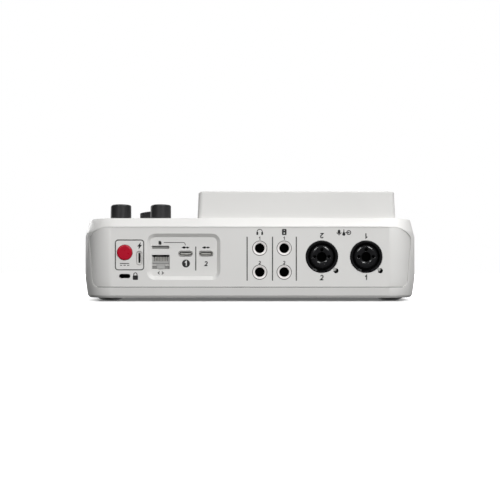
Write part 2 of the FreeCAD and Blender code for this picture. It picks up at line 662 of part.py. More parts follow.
def combo_screw(name, x):
    """Small black screw beside an input socket."""
    top = "dims.combo_screw_grip + dims.combo_screw_rise"
    body = turned(name, (
        (0, 0),
        ("dims.combo_screw_shank", 0),
        ("dims.combo_screw_shank", "dims.combo_screw_grip"),
        ("dims.combo_screw_head", "dims.combo_screw_grip"),
        ("dims.combo_screw_head", f"{top} - dims.combo_screw_edge"),
        ("dims.combo_screw_head - dims.combo_screw_edge", top),
        (0, top),
    ))
    body.Placement = rearward(f"{x} - dims.combo_screw_offset",
                              "dims.combo_block_end - dims.combo_screw_grip",
                              "dims.combo_z - dims.combo_screw_offset")
    return body


def usb_port(name, x, z, face, upright):
    """USB-C receptacle: mounting block, open metal shell and tongue."""
    body = new_body(name)
    depth = f"({face}) - dims.connector_base"
    inner_corner = "dims.usb_corner - dims.usb_wall"
    add_slab(body, "dims.usb_width + 2 * dims.usb_shell_start",
             "dims.usb_height + 2 * dims.usb_shell_start", inner_corner, 0,
             f"{depth} - dims.usb_length")
    add_slab(body, "dims.usb_width", "dims.usb_height", "dims.usb_corner",
             f"{depth} - dims.usb_length", depth)
    mouth = sketch_on(body, "XY_Plane", depth)
    rounded_rectangle(mouth, "dims.usb_width - 2 * dims.usb_wall",
                      "dims.usb_height - 2 * dims.usb_wall", inner_corner)
    feature(body, "Pocket", mouth, Length="dims.usb_length - 1")
    add_slab(body, "dims.tongue_width", "dims.tongue_height", "dims.tongue_corner",
             f"{depth} - dims.usb_length", f"{depth} - dims.tongue_setback")
    body.Placement = rearward(x, "dims.connector_base", z)
    if upright:
        body.Placement = body.Placement * Placement(Vector(), Rotation(Vector(0, 0, 1), 90))
    return body


def ethernet_port():
    """Network socket: shielded block with the stepped opening for a plug."""
    x, z, face = "dims.ethernet_x", "dims.ethernet_z", "dims.rear_face - dims.shield_setback"
    block = box("ethernet_block",
                (f"{x} - dims.shield_half_width", f"{x} + dims.shield_half_width"),
                ("dims.connector_base", face),
                (f"{z} - dims.shield_half_height", f"{z} + dims.shield_half_height"))
    back = "dims.connector_base + dims.shield_back"
    half = "dims.ethernet_width / 2"
    throat = box("ethernet_throat", (f"{x} - {half}", f"{x} + {half}"), (back, f"{face} + 1"),
                 (f"{z} - dims.throat_drop", f"{z} + dims.ethernet_height / 2"))
    step = box("ethernet_step", (f"{x} - dims.step_half", f"{x} + dims.step_half"),
               (back, f"{face} + 1"), (f"{z} - dims.step_drop", z))
    latch = box("ethernet_latch", (f"{x} - dims.plug_latch_half", f"{x} + dims.plug_latch_half"),
                (back, f"{face} + 1"), (f"{z} - dims.ethernet_height / 2", z))
    return node(cut("ethernet_port", block, throat, step, latch), "ethernet_port")


def card_socket():
    """Memory card socket behind its slot."""
    x, z = "dims.card_x", "dims.card_z"
    frame = box("card_frame",
                (f"{x} - dims.card_frame_width / 2", f"{x} + dims.card_frame_width / 2"),
                ("dims.connector_base", "dims.card_frame_face"),
                (f"{z} - dims.card_frame_height / 2", f"{z} + dims.card_frame_height / 2"))
    slot = box("card_slot", (f"{x} - dims.card_width / 2", f"{x} + dims.card_width / 2"),
               ("dims.connector_base + dims.shield_back", "dims.card_frame_face + 1"),
               (f"{z} - dims.card_height / 2", f"{z} + dims.card_height / 2"))
    return node(cut("microsd_socket", frame, slot), "microsd_socket")


def power_control():
    """Push button in the rear panel and the switch that it works."""
    x, z = "dims.power_x", "dims.power_z"
    length = "dims.power_face - dims.power_stem_end"
    skirt = "dims.power_skirt - dims.power_stem_end"
    button = turned("power_button", (
        (0, 0),
        ("dims.power_stem", 0),
        ("dims.power_stem", skirt),
        ("dims.power_radius", skirt),
        ("dims.power_radius", f"{length} - 0.5 * dims.power_edge"),
        ("dims.power_radius - 0.15 * dims.power_edge", f"{length} - 0.2 * dims.power_edge"),
        ("dims.power_radius - 0.5 * dims.power_edge", f"{length} - 0.05 * dims.power_edge"),
        ("dims.power_radius - dims.power_edge", length),
        (0, length),
    ))
    button.Placement = rearward(x, "dims.power_stem_end", z)
    node(button, "power_button")
    block = box("switch_block", (f"{x} - dims.switch_half", f"{x} + dims.switch_half"),
                ("dims.connector_base", "dims.switch_face"),
                (f"{z} - dims.switch_half", f"{z} + dims.switch_half"))
    way = rod("switch_way", "dims.power_stem + dims.stem_gap", "dims.switch_floor",
              "dims.switch_face + 1", x, z)
    node(cut("power_switch", block, way), "power_switch")


def lock_bracket():
    """Steel plate behind the security slot."""
    x, z = "dims.lock_x", "dims.lock_z"
    plate = box("lock_plate",
                (f"{x} - dims.lock_plate_width / 2", f"{x} + dims.lock_plate_width / 2"),
                ("dims.lock_plate_start", "dims.lock_plate_end"),
                (f"{z} - dims.lock_plate_height / 2", f"{z} + dims.lock_plate_height / 2"))
    hole = slot_tool("lock_plate_hole", "dims.lock_width - 2 * dims.lock_plate_lip",
                     "dims.lock_height", "dims.lock_corner",
                     "dims.lock_plate_start - 1", "dims.lock_plate_end + 1", x, z)
    return node(cut("lock_slot_bracket", plate, hole), "lock_slot_bracket")


def headset_jack():
    """3.5 mm headset socket in the front wall."""
    x, z = "dims.headset_x", "dims.headset_z"
    block = box("headset_block",
                (f"{x} - dims.headset_width / 2", f"{x} + dims.headset_width / 2"),
                ("dims.front_face + dims.wall + dims.headset_gap",
                 "dims.front_face + dims.headset_length"),
                (f"{z} - dims.headset_height / 2", f"{z} + dims.headset_height / 2"))
    nose = rod("headset_nose", "dims.headset_nose", "dims.front_face + dims.headset_gap",
               "dims.front_face + dims.headset_nose_length", x, z)
    bore = rod("headset_bore", "dims.headset_bore", "dims.front_face - 1",
               "dims.front_face + dims.headset_length + 1", x, z)
    solid = joined("MultiFuse", "headset_solid", block, nose)
    return node(cut("headset_jack", solid, bore), "headset_jack")


def rear_connectors():
    """Every socket on the connector board."""
    ferrules = []
    for label, x in JACKS.items():
        sockets = [phone_jack(f"{label}_{n}", x, z) for n, z in enumerate(JACK_HEIGHTS)]
        ferrules += [jack_ferrule(f"{label}_ring_{n}", x, z) for n, z in enumerate(JACK_HEIGHTS)]
        group(label, *sockets)
    group("jack_ferrules", *ferrules)
    for label, x in COMBOS.items():
        combo_jack(label, x)
    inserts = [combo_insert(label + "_insert", x) for label, x in COMBOS.items()]
    carriers = [combo_carrier(label + "_carrier", x) for label, x in COMBOS.items()]
    group("combo_inserts", *inserts, *carriers)
    group("combo_screws", *[combo_screw(label + "_screw", x) for label, x in COMBOS.items()])
    recess_face = "dims.rear_face - dims.panel_inset - dims.recess_depth - dims.usb_setback"
    group("usb_ports",
          usb_port("usb_port_1", "dims.usb_one_x", "dims.usb_z", recess_face, False),
          usb_port("usb_port_2", "dims.usb_two_x", "dims.usb_z", recess_face, False),
          usb_port("usb_supply", "dims.supply_x", "dims.supply_z", "dims.rear_face - 1", True))
    ethernet_port()
    card_socket()
    power_control()
    lock_bracket()
    headset_jack()


# ---------------------------------------------------------------- control surface

def channel_across(channel):
    """Place of a channel strip across the surface, for channels 1 to 4."""
    return f"dims.channel_first + {channel - 1} * dims.channel_pitch"


CHANNELS = range(1, 5)
BUTTON_ROWS = {
    "select_button": ("dims.select_along", "dims.select_length"),
    "listen_button": ("dims.listen_along", "dims.small_button_length"),
    "mute_button": ("dims.mute_along", "dims.small_button_length"),
}
BANKS = {"bank_button_left": "dims.pad_left", "bank_button_right": "dims.pad_right"}


def pad_places():
    """Label and place of each pad, left column and right column in turn, from the rear."""
    places = {}
    for index in range(6):
        across = ("dims.pad_left", "dims.pad_right")[index % 2]
        places[f"pad_{index + 1}"] = (across, f"dims.pad_first - {index // 2} * dims.pad_pitch")
    return places


def push_piece(label, width, length, corner, rise, across, along):
    """Button or pad: cap through the deck, retaining flange below it, and a plunger."""
    body = new_body(label)
    add_slab(body, f"{width} + 2 * dims.control_flange", f"{length} + 2 * dims.control_flange",
             corner, "-dims.flange_bottom", "-dims.flange_top")
    add_slab(body, width, length, corner, "-dims.flange_bottom", rise)
    add_disc(body, "dims.plunger_radius", "-dims.button_stem", "-dims.flange_bottom + 0.1")
    round_top(body, "dims.button_edge")
    body.Placement = surface(across, along)
    return node(body, label)


def round_button():
    """Record button."""
    body = new_body("record_button")
    add_disc(body, "dims.record_radius + dims.control_flange", "-dims.flange_bottom",
             "-dims.flange_top")
    add_disc(body, "dims.record_radius", "-dims.flange_bottom", "dims.button_rise")
    add_disc(body, "dims.plunger_radius", "-dims.button_stem", "-dims.flange_bottom + 0.1")
    round_top(body, "dims.button_edge")
    body.Placement = surface("dims.record_across", "dims.record_along")
    return node(body, "record_button")


def headphone_knob(label, across):
    """Smooth knob with its shaft."""
    body = turned(label, (
        (0, "-dims.shaft_end"),
        ("dims.shaft_radius", "-dims.shaft_end"),
        ("dims.shaft_radius", "dims.knob_base"),
        ("dims.knob_radius + dims.knob_draft", "dims.knob_base"),
        ("dims.knob_radius", "dims.knob_top"),
        (0, "dims.knob_top"),
    ))
    round_top(body, "dims.knob_round")
    body.Placement = surface(across, "dims.phones_along")
    return node(body, label)


def encoder_knob():
    """Fluted knob with its shaft; the flutes are a polar pattern of one groove."""
    body = turned("encoder_knob", (
        (0, "-dims.encoder_shaft_end"),
        ("dims.shaft_radius", "-dims.encoder_shaft_end"),
        ("dims.shaft_radius", "dims.encoder_base"),
        ("dims.encoder_radius", "dims.encoder_base"),
        ("dims.encoder_radius", "dims.encoder_top - dims.encoder_wall"),
        ("dims.encoder_radius - dims.encoder_edge", "dims.encoder_top - dims.encoder_shoulder"),
        ("dims.encoder_radius - dims.encoder_dome", "dims.encoder_top"),
        (0, "dims.encoder_top"),
    ))
    flute = sketch_on(body, "XY_Plane", "dims.encoder_base + 1")
    circle(flute, "dims.flute_depth + dims.flute_overlap", "dims.encoder_radius + dims.flute_overlap")
    groove = feature(body, "Pocket", flute, Length="dims.encoder_top")
    groove.Reversed = True
    doc.recompute()
    axis = next(item for item in body.Origin.OriginFeatures if item.Role == "Z_Axis")
    pattern = body.newObject("PartDesign::PolarPattern", "encoder_flutes")
    pattern.Originals = [groove]
    pattern.Axis = (axis, [""])
    pattern.Angle = 360
    pattern.Occurrences = round(number("2 * pi * dims.encoder_radius / dims.flute_pitch"))
    body.Tip = pattern
    body.Placement = surface("dims.encoder_across", "dims.encoder_along")
    return node(body, "encoder_knob")


def fader_cap(label, across):
    """Fader cap with a finger saddle, and the lever that reaches into the fader."""
    body = new_body(label)
    profile = sketch_on(body, "YZ_Plane", "-dims.cap_width / 2")
    half = "dims.cap_length / 2"
    polygon(profile, (
        (f"-{half}", "dims.cap_base"),
        (half, "dims.cap_base"),
        (f"{half} - dims.cap_lip", "dims.cap_top"),
        (f"{half} - dims.cap_rim", "dims.cap_top"),
        ("dims.cap_saddle", "dims.cap_waist"),
        ("-dims.cap_saddle", "dims.cap_waist"),
        (f"-{half} + dims.cap_rim", "dims.cap_top"),
        (f"-{half} + dims.cap_lip", "dims.cap_top"),
    ))
    feature(body, "Pad", profile, Length="dims.cap_width")
    add_slab(body, "dims.lever_thickness", "dims.lever_length", "dims.lever_corner",
             "-dims.lever_end", "dims.cap_base + 1")
    body.Placement = surface(across, "dims.fader_along")
    return node(body, label)


def moving_controls():
    """Every knob, button, pad and fader cap."""
    for channel in CHANNELS:
        across = channel_across(channel)
        fader_cap(f"fader_cap_{channel}", across)
        for row_name, (along, length) in BUTTON_ROWS.items():
            push_piece(f"{row_name}_{channel}", "dims.select_width", length,
                       "dims.button_corner", "dims.button_rise", across, along)
    for label, (across, along) in pad_places().items():
        push_piece(label, "dims.pad_width", "dims.pad_length", "dims.pad_corner",
                   "dims.pad_rise", across, along)
    for label, across in BANKS.items():
        push_piece(label, "dims.bank_width", "dims.bank_length", "dims.button_corner",
                   "dims.button_rise", across, "dims.bank_along")
    round_button()
    headphone_knob("headphone_knob_1", "dims.phones_one_across")
    headphone_knob("headphone_knob_2", "dims.phones_two_across")
    encoder_knob()
    plunger = turned("encoder_plunger", ring_profile(
        0, "dims.encoder_plunger_radius", "-dims.plunger_bottom", "-dims.plunger_top"))
    plunger.Placement = surface("dims.encoder_across", "dims.encoder_along")
    node(plunger, "encoder_plunger")


def surface_bar(name, width, length, corner, across, along, low=-20, high=20):
    """Rounded bar square to the control surface, used to cut an opening."""
    item = slab(name, width, length, corner, low, high)
    item.Placement = surface(across, along)
    return item


def surface_rod(name, radius, across, along, low=-20, high=20):
    """Round bar square to the control surface."""
    item = doc.addObject("Part::Cylinder", name)
    item.setExpression("Radius", str(radius))
    item.setExpression("Height", f"({high}) - ({low})")
    item.Placement = surface(across, along, low)
    return item


def top_panel():
    """Deck with an opening for every control."""
    blank = slab("deck_blank", "2 * dims.deck_half", "dims.deck_rear - dims.deck_front",
                 "dims.deck_corner", "-dims.deck_thickness", 0, 0,
                 "(dims.deck_rear + dims.deck_front) / 2")
    blank.Placement = surface()
    gap = "2 * dims.control_gap"
    tools = []
    for channel in CHANNELS:
        across = channel_across(channel)
        tools.append(surface_bar(f"fader_slot_{channel}", "dims.fader_slot_width",
                                 "dims.fader_slot", "dims.control_corner", across,
                                 "dims.fader_along"))
        for row_name, (along, length) in BUTTON_ROWS.items():
            tools.append(surface_bar(f"{row_name}_opening_{channel}",
                                     f"dims.select_width + {gap}", f"{length} + {gap}",
                                     "dims.button_corner + dims.control_gap", across, along))
    for label, (across, along) in pad_places().items():
        tools.append(surface_bar(label + "_opening", f"dims.pad_width + {gap}",
                                 f"dims.pad_length + {gap}",
                                 "dims.pad_corner + dims.control_gap", across, along))
    for label, across in BANKS.items():
        tools.append(surface_bar(label + "_opening", f"dims.bank_width + {gap}",
                                 f"dims.bank_length + {gap}",
                                 "dims.button_corner + dims.control_gap", across,
                                 "dims.bank_along"))
    tools.append(surface_rod("record_opening", "dims.record_radius + dims.control_gap",
                             "dims.record_across", "dims.record_along"))
    for number_text in ("one", "two"):
        tools.append(surface_rod(f"phones_opening_{number_text}", "dims.bushing_radius + dims.bushing_gap",
                                 f"dims.phones_{number_text}_across", "dims.phones_along"))
    tools.append(surface_rod("encoder_opening", "dims.bushing_radius + dims.bushing_gap",
                             "dims.encoder_across", "dims.encoder_along"))
    tools.append(surface_rod("ring_seat", "dims.ring_outer + 0.1", "dims.encoder_across",
                             "dims.encoder_along", "-dims.ring_depth", 1))
    openings = joined("Compound", "deck_openings", *tools)
    return node(cut("top_panel", blank, openings), "top_panel")


def light_ring():
    """Clear ring round the encoder knob, in its seat in the deck."""
    ring = turned("encoder_light_ring", ring_profile(
        "dims.ring_inner", "dims.ring_outer", "-dims.ring_depth", "dims.ring_rise"))
    ring.Placement = surface("dims.encoder_across", "dims.encoder_along")
    return node(ring, "encoder_light_ring")


def rotary_base(name, across, along, floor):
    """Body of a rotary control on the control board, with its bushing and shaft hole."""
    board_top = "dims.board_thickness - dims.control_board_depth"
    body = new_body(name)
    add_slab(body, "dims.rotary_width", "dims.rotary_width", "dims.control_corner", board_top,
             "-dims.rotary_top")
    add_disc(body, "dims.bushing_radius", "-dims.rotary_top - 0.1", "-dims.bushing_top")
    sketch = sketch_on(body, "XY_Plane", 0)
    circle(sketch, "dims.shaft_radius + dims.shaft_gap")
    feature(body, "Pocket", sketch, Length=floor)
    body.Placement = surface(across, along)
    return body


def fader_body(name, across):
    """Straight fader under the deck, with a slot for its lever."""
    board_top = "dims.board_thickness - dims.control_board_depth"
    body = new_body(name)
    add_slab(body, "dims.fader_body_width", "dims.fader_body_length", "dims.control_corner",
             board_top, "-dims.fader_body_top")
    sketch = sketch_on(body, "XY_Plane", 0)
    rounded_rectangle(sketch, "dims.fader_track_width", "dims.fader_slot", "dims.control_corner")
    feature(body, "Pocket", sketch, Length="dims.lever_end + dims.fader_track_floor")
    body.Placement = surface(across, "dims.fader_along")
    return body


def fixed_controls():
    """Faders, pots and encoder that the moving controls work."""
    group("fader_bodies", *[fader_body(f"fader_body_{n}", channel_across(n)) for n in CHANNELS])
    group("headphone_pots",
          rotary_base("headphone_pot_1", "dims.phones_one_across", "dims.phones_along",
                      "dims.pot_hole"),
          rotary_base("headphone_pot_2", "dims.phones_two_across", "dims.phones_along",
                      "dims.pot_hole"))
    node(rotary_base("encoder_body", "dims.encoder_across", "dims.encoder_along",
                     "dims.encoder_hole"), "encoder_body")


# ---------------------------------------------------------------- screen

SCREEN_LEVELS = (30, 85)        # below the deck and above the screen, so both planes cut the walls
BEYOND = 300                    # reaches past the whole console


def screen_form(name, inset, top_drop, foot):
    """Wedge of the screen housing: drafted walls between the deck and the tilted screen."""
    sections = []
    for height in SCREEN_LEVELS:
        draft = f"({inset} + dims.screen_draft * ({height} - dims.screen_base))"
        sections.append((
            Placement(Vector(number("dims.screen_middle"), 0, height), Rotation()),
            f"dims.screen_width - 2 * {draft}",
            f"dims.screen_rear - dims.screen_front - 2 * {inset} - {draft} / 2",
            f"dims.screen_corner + 1 - {inset} / 2",
            0,
            f"(dims.screen_rear + dims.screen_front) / 2 - {draft} / 4",
        ))
    walls = loft(name + "_walls", sections)
    above = doc.addObject("Part::Box", name + "_above")
    above.Length, above.Width, above.Height = BEYOND, BEYOND, BEYOND / 3
    above.Placement = surface(-BEYOND / 2, -BEYOND / 2, foot)
    below = doc.addObject("Part::Box", name + "_below")
    below.Length, below.Width, below.Height = BEYOND, BEYOND, BEYOND / 3
    below.Placement = screen_plane(-BEYOND / 2, -2 * BEYOND / 3, f"-{BEYOND / 3} - ({top_drop})")
    return joined("MultiCommon", name, walls, above, below)


def screen_plane(across=0, along=0, up=0):
    """Placement on the tilted screen, measured from the top rear edge."""
    tilt = Rotation(Vector(1, 0, 0), number("dims.screen_tilt"))
    corner = Vector(number("dims.screen_middle"), number("dims.screen_rear"),
                    number("dims.screen_height"))
    offset = Vector(number(across), number(along), number(up))
    return Placement(corner + tilt.multVec(offset), tilt)


def screen_housing():
    """Wedge-shaped shell that holds the screen, open to the deck below."""
    outer = screen_form("screen_outer", 0, 0, 0)
    doc.recompute()
    rounded = doc.addObject("Part::Fillet", "screen_rounded")
    rounded.Base = outer
    top = screen_plane().inverse()
    edges = []
    for index, edge in enumerate(outer.Shape.Edges, start=1):
        heights = [top.multVec(vertex.Point).z for vertex in edge.Vertexes]
        if max(abs(height) for height in heights) < 1e-3:
            radius = number("dims.screen_edge")
            edges.append((index, radius, radius))
    rounded.Edges = edges
    inner = screen_form("screen_inner", "dims.screen_wall", "dims.screen_top_wall", -1)
    middle = "dims.window_along"
    seat = slab("glass_seat", "dims.glass_width + 2 * dims.glass_gap",
                "dims.glass_length + 2 * dims.glass_gap",
                "dims.glass_corner", "-dims.glass_thickness", 5)
    seat.Placement = screen_plane(0, middle)
    window = slab("screen_window", "dims.window_width", "dims.window_length",
                  "dims.window_corner", -5, 5)
    window.Placement = screen_plane(0, middle)
    node(cut("screen_housing", rounded, inner, seat, window), "screen_housing")
    glass = slab("touchscreen_glass", "dims.glass_width", "dims.glass_length",
                 "dims.glass_corner", "-dims.glass_thickness", 0)
    glass.Placement = screen_plane(0, middle)
    node(glass, "touchscreen_glass")
    module = slab("display_module", "dims.window_width - 2 * dims.module_gap",
                  "dims.window_length - 2 * dims.module_gap", "dims.window_corner",
                  "-dims.glass_thickness - dims.module_thickness", "-dims.glass_thickness")
    module.Placement = screen_plane(0, middle)
    node(module, "display_module")


# ---------------------------------------------------------------- housing and inside

SCREW_ALONG = (-70, 10, 80)


def main_housing(outline):
    """Moulded shell: sloping top with bevels, side walls, ledge for the deck, rear opening."""
    outer = joined("MultiCommon", "housing_outer", hull("housing_plan", 0),
                   crown("housing_crown", 0, 0))
    inner = joined("MultiCommon", "housing_inner", hull("cavity_plan", "dims.wall", -1),
                   crown("cavity_crown", "dims.top_wall", "dims.wall - 0.7"))
    shell = cut("housing_shell", outer, inner)
    bosses = []
    for index, along in enumerate(SCREW_ALONG):
        for side in (1, -1):
            name = f"boss_{index}{'r' if side > 0 else 'l'}"
            post = doc.addObject("Part::Cylinder", name)
            post.setExpression("Radius", "dims.boss_radius")
            base = number("dims.rim_height + dims.plate_thickness")
            post.Height = number("dims.boss_top") - base
            post.Placement = Placement(
                Vector(side * number("dims.screw_across"), along, base), Rotation())
            reach = sorted((side * number("dims.screw_across"), side * number("dims.rib_reach")))
            rib = box(name + "_rib", reach, (f"{along} - dims.rib_thickness / 2",
                                             f"{along} + dims.rib_thickness / 2"),
                      (base, "dims.boss_top"))
            bosses += [post, rib]
    solid = joined("MultiFuse", "housing_solid", shell, *bosses)
    middle = "(dims.deck_rear + dims.deck_front) / 2"
    length = "dims.deck_rear - dims.deck_front"
    seat = slab("deck_seat", "2 * dims.deck_half + 2 * dims.deck_gap",
                f"{length} + 2 * dims.deck_gap", "dims.deck_corner", "-dims.deck_thickness", 5,
                0, middle)
    seat.Placement = surface()
    well = slab("deck_well", "2 * dims.deck_half - 2 * dims.deck_ledge",
                f"{length} - 2 * dims.deck_ledge", "dims.deck_corner - dims.deck_ledge",
                "-dims.top_wall - 3", 5, 0, middle)
    well.Placement = surface()
    socket = rod("headset_hole", "dims.headset_nose + dims.headset_gap", "dims.front_face - 1",
                 "dims.front_face + 4", "dims.headset_x", "dims.headset_z")
    screws = [screw_way(index, along, side)
              for index, along in enumerate(SCREW_ALONG) for side in (1, -1)]
    opening = panel_prism("panel_opening", outline, 0)
    return node(cut("main_housing", solid, opening, seat, well, socket, *screws), "main_housing")


def screw_way(index, along, side):
    """Screw hole in a housing boss."""
    way = doc.addObject("Part::Cylinder", f"screw_way_{index}{'r' if side > 0 else 'l'}")
    way.setExpression("Radius", "dims.screw_shank")
    way.setExpression("Height", "dims.screw_hole_top")
    way.Placement = Placement(Vector(side * number("dims.screw_across"), along, 0), Rotation())
    return way


def bottom_plate():
    """Base plate with countersunk screw holes."""
    side_inset = "dims.rim_inset + dims.wall + dims.plate_gap"
    end_inset = "dims.rim_inset_end + dims.wall + dims.plate_gap"
    blank = new_body("plate_blank")
    sketch = sketch_on(blank, "XY_Plane", "dims.rim_height")
    soft_rectangle(sketch, f"dims.body_width - 2 * ({side_inset})",
                   f"dims.rear_face - dims.front_face - 2 * ({end_inset})",
                   f"dims.corner - ({side_inset})", f"dims.corner_bend - ({side_inset})",
                   f"dims.corner_sweep - ({side_inset})", 0,
                   "(dims.rear_face + dims.front_face) / 2")
    feature(blank, "Pad", sketch, Length="dims.plate_thickness")
    tools = []
    for index, along in enumerate(SCREW_ALONG):
        for side in (1, -1):
            name = f"sink_{index}{'r' if side > 0 else 'l'}"
            tool = turned(name, screw_profile("dims.sink_gap"))
            tool.Placement = Placement(
                Vector(side * number("dims.screw_across"), along, 0), Rotation())
            tools.append(tool)
    return node(cut("bottom_plate", blank, joined("Compound", "plate_sinks", *tools)),
                "bottom_plate")


def screw_profile(gap):
    """Half section of a countersunk screw, standing on its head, widened by gap."""
    base = "dims.rim_height"
    return (
        (0, base),
        (f"dims.screw_head + {gap}", base),
        (f"dims.screw_head + {gap}", f"{base} + dims.screw_head_height"),
        (f"dims.screw_shank + {gap}", f"{base} + dims.screw_cone"),
        (f"dims.screw_shank + {gap}", f"{base} + dims.screw_length"),
        (0, f"{base} + dims.screw_length"),
    )


def underside():
    """Screws and feet."""
    screws = []
    for index, along in enumerate(SCREW_ALONG):
        for side in (1, -1):
            screw = turned(f"case_screw_{index}{'r' if side > 0 else 'l'}", screw_profile(0))
            screw.Placement = Placement(
                Vector(side * number("dims.screw_across"), along, 0), Rotation())
            screws.append(screw)
    group("case_screws", *screws)
    feet = []
    for index, (side, end) in enumerate(((1, 1), (-1, 1), (-1, -1), (1, -1))):
        foot = turned(f"foot_{index}", (
            (0, 0),
            ("dims.foot_sole", 0),
            ("dims.foot_sole + 2", "0.32 * dims.rim_height"),
            ("dims.foot_radius - 0.75", "0.68 * dims.rim_height"),
            ("dims.foot_radius", "0.9 * dims.rim_height"),
            ("dims.foot_radius", "dims.rim_height"),
            (0, "dims.rim_height"),
        ))
        foot.Placement = Placement(Vector(side * number("dims.foot_across"),
                                          end * number("dims.foot_along"), 0), Rotation())
        feet.append(foot)
    group("rubber_feet", *feet)


BOARD_POSTS = ((-88, -52), (0, -52), (88, -52), (-88, 88), (0, 88), (88, 88))
DECK_POSTS = ((-74, 19), (10, 19), (10, -102), (-74, -102), (98, 7), (98, 30))


def boards():
    """Circuit boards and the posts that hold them."""
    base = "dims.main_board_height"
    node(box("main_board", ("-dims.main_board_half", "dims.main_board_half"),
             ("dims.main_board_front", "dims.main_board_rear"),
             (base, f"{base} + dims.board_thickness")), "main_board")
    node(box("io_board", ("dims.io_board_left", "dims.io_board_right"),
             ("dims.io_board_front", "dims.connector_base"),
             ("dims.io_board_bottom", "dims.io_board_top")), "io_board")
    low = "-dims.control_board_depth"
    high = f"{low} + dims.board_thickness"
    wide = slab("board_wide", "dims.deck_board_width", "dims.deck_board_length",
                "dims.board_corner", low, high, 0, "dims.deck_board_along")
    strip = slab("board_strip", "dims.strip_width", "dims.strip_length", "dims.board_corner",
                 low, high, "dims.strip_across", "dims.strip_along")
    for piece in (wide, strip):
        piece.Placement = surface()
    node(joined("MultiFuse", "control_board", wide, strip), "control_board")
    posts = []
    plate_top = number("dims.rim_height + dims.plate_thickness")
    for index, (x, y) in enumerate(BOARD_POSTS):
        post = doc.addObject("Part::Cylinder", f"board_post_{index}")
        post.setExpression("Radius", "dims.board_post_radius")
        post.Height = number(base) - plate_top
        post.Placement = Placement(Vector(x, y, plate_top), Rotation())
        posts.append(post)
    for index, (across, along) in enumerate(DECK_POSTS):
        posts.append(surface_rod(f"deck_post_{index}", "dims.deck_post_radius", across, along,
                                 high, "-dims.deck_thickness"))
    group("board_standoffs", *posts)


# ---------------------------------------------------------------- build

def check_document():
    """Stop if any object failed or any sub-part has no sound shape."""
    failed = [item.Name for item in doc.Objects
              if {"Invalid", "Error"} & set(item.State)]
    if failed:
        raise RuntimeError(f"objects failed: {failed}")
    for item in nodes:
        if item.Shape.isNull() or not item.Shape.isValid() or not item.Shape.Solids:
            raise RuntimeError(f"no sound shape: {item.Label}")


outline = panel_outline()
main_housing(outline)
rear_panel(outline)
rear_connectors()
top_panel()
light_ring()
moving_controls()
fixed_controls()
screen_housing()
bottom_plate()
underside()
boards()
doc.recompute()
check_document()

os.makedirs("parts", exist_ok=True)
for item in nodes:
    item.Shape.exportStep(f"parts/{item.Label}.step")
    extent = item.Shape.BoundBox
    print(f"{item.Label}: {len(item.Shape.Solids)} solid(s), {item.Shape.Volume:.0f} mm3, "
          f"{extent.XLength:.1f} x {extent.YLength:.1f} x {extent.ZLength:.1f}")
print(len(nodes), "nodes")
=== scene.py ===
import json
import math

import bmesh
import bpy
from mathutils import Matrix, Vector
from mathutils.bvhtree import BVHTree


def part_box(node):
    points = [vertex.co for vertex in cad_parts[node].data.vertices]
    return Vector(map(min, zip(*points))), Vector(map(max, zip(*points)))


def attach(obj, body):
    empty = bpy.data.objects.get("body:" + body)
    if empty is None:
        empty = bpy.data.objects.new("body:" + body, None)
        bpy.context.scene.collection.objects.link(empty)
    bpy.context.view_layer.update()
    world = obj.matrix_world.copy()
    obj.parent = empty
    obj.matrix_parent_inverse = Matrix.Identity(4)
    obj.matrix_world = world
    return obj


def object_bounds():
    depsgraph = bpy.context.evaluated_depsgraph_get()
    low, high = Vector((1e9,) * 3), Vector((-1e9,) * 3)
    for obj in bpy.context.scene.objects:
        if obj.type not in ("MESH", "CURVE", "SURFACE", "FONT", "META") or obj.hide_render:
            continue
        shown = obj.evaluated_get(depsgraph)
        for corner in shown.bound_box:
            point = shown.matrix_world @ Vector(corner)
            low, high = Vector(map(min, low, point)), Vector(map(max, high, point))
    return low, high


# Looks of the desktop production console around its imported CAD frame.
# Lengths in the tables below are millimetres; MM turns them into Blender's metres.

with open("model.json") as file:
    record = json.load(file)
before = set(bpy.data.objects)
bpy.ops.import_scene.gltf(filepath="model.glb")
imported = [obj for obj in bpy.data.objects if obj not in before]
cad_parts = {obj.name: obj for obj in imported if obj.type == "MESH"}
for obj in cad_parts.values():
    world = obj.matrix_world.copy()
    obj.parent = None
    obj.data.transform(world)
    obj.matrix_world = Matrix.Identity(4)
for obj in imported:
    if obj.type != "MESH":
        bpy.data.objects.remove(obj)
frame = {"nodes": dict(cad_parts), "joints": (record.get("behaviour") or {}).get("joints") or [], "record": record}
cad_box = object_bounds()
nodes = frame["nodes"]
MM = 0.001
ROOT = "console"


# ---------------------------------------------------------------- places read from the frame

def middle(node):
    """Centre of a CAD node's box, in millimetres."""
    low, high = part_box(node)
    return (Vector(low) + Vector(high)) / (2 * MM)


def span(node):
    """Lowest and highest corner of a CAD node's box, in millimetres."""
    low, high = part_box(node)
    return Vector(low) / MM, Vector(high) / MM


def joint(name):
    """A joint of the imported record."""
    return next(item for item in frame["joints"] if item["name"] == name)


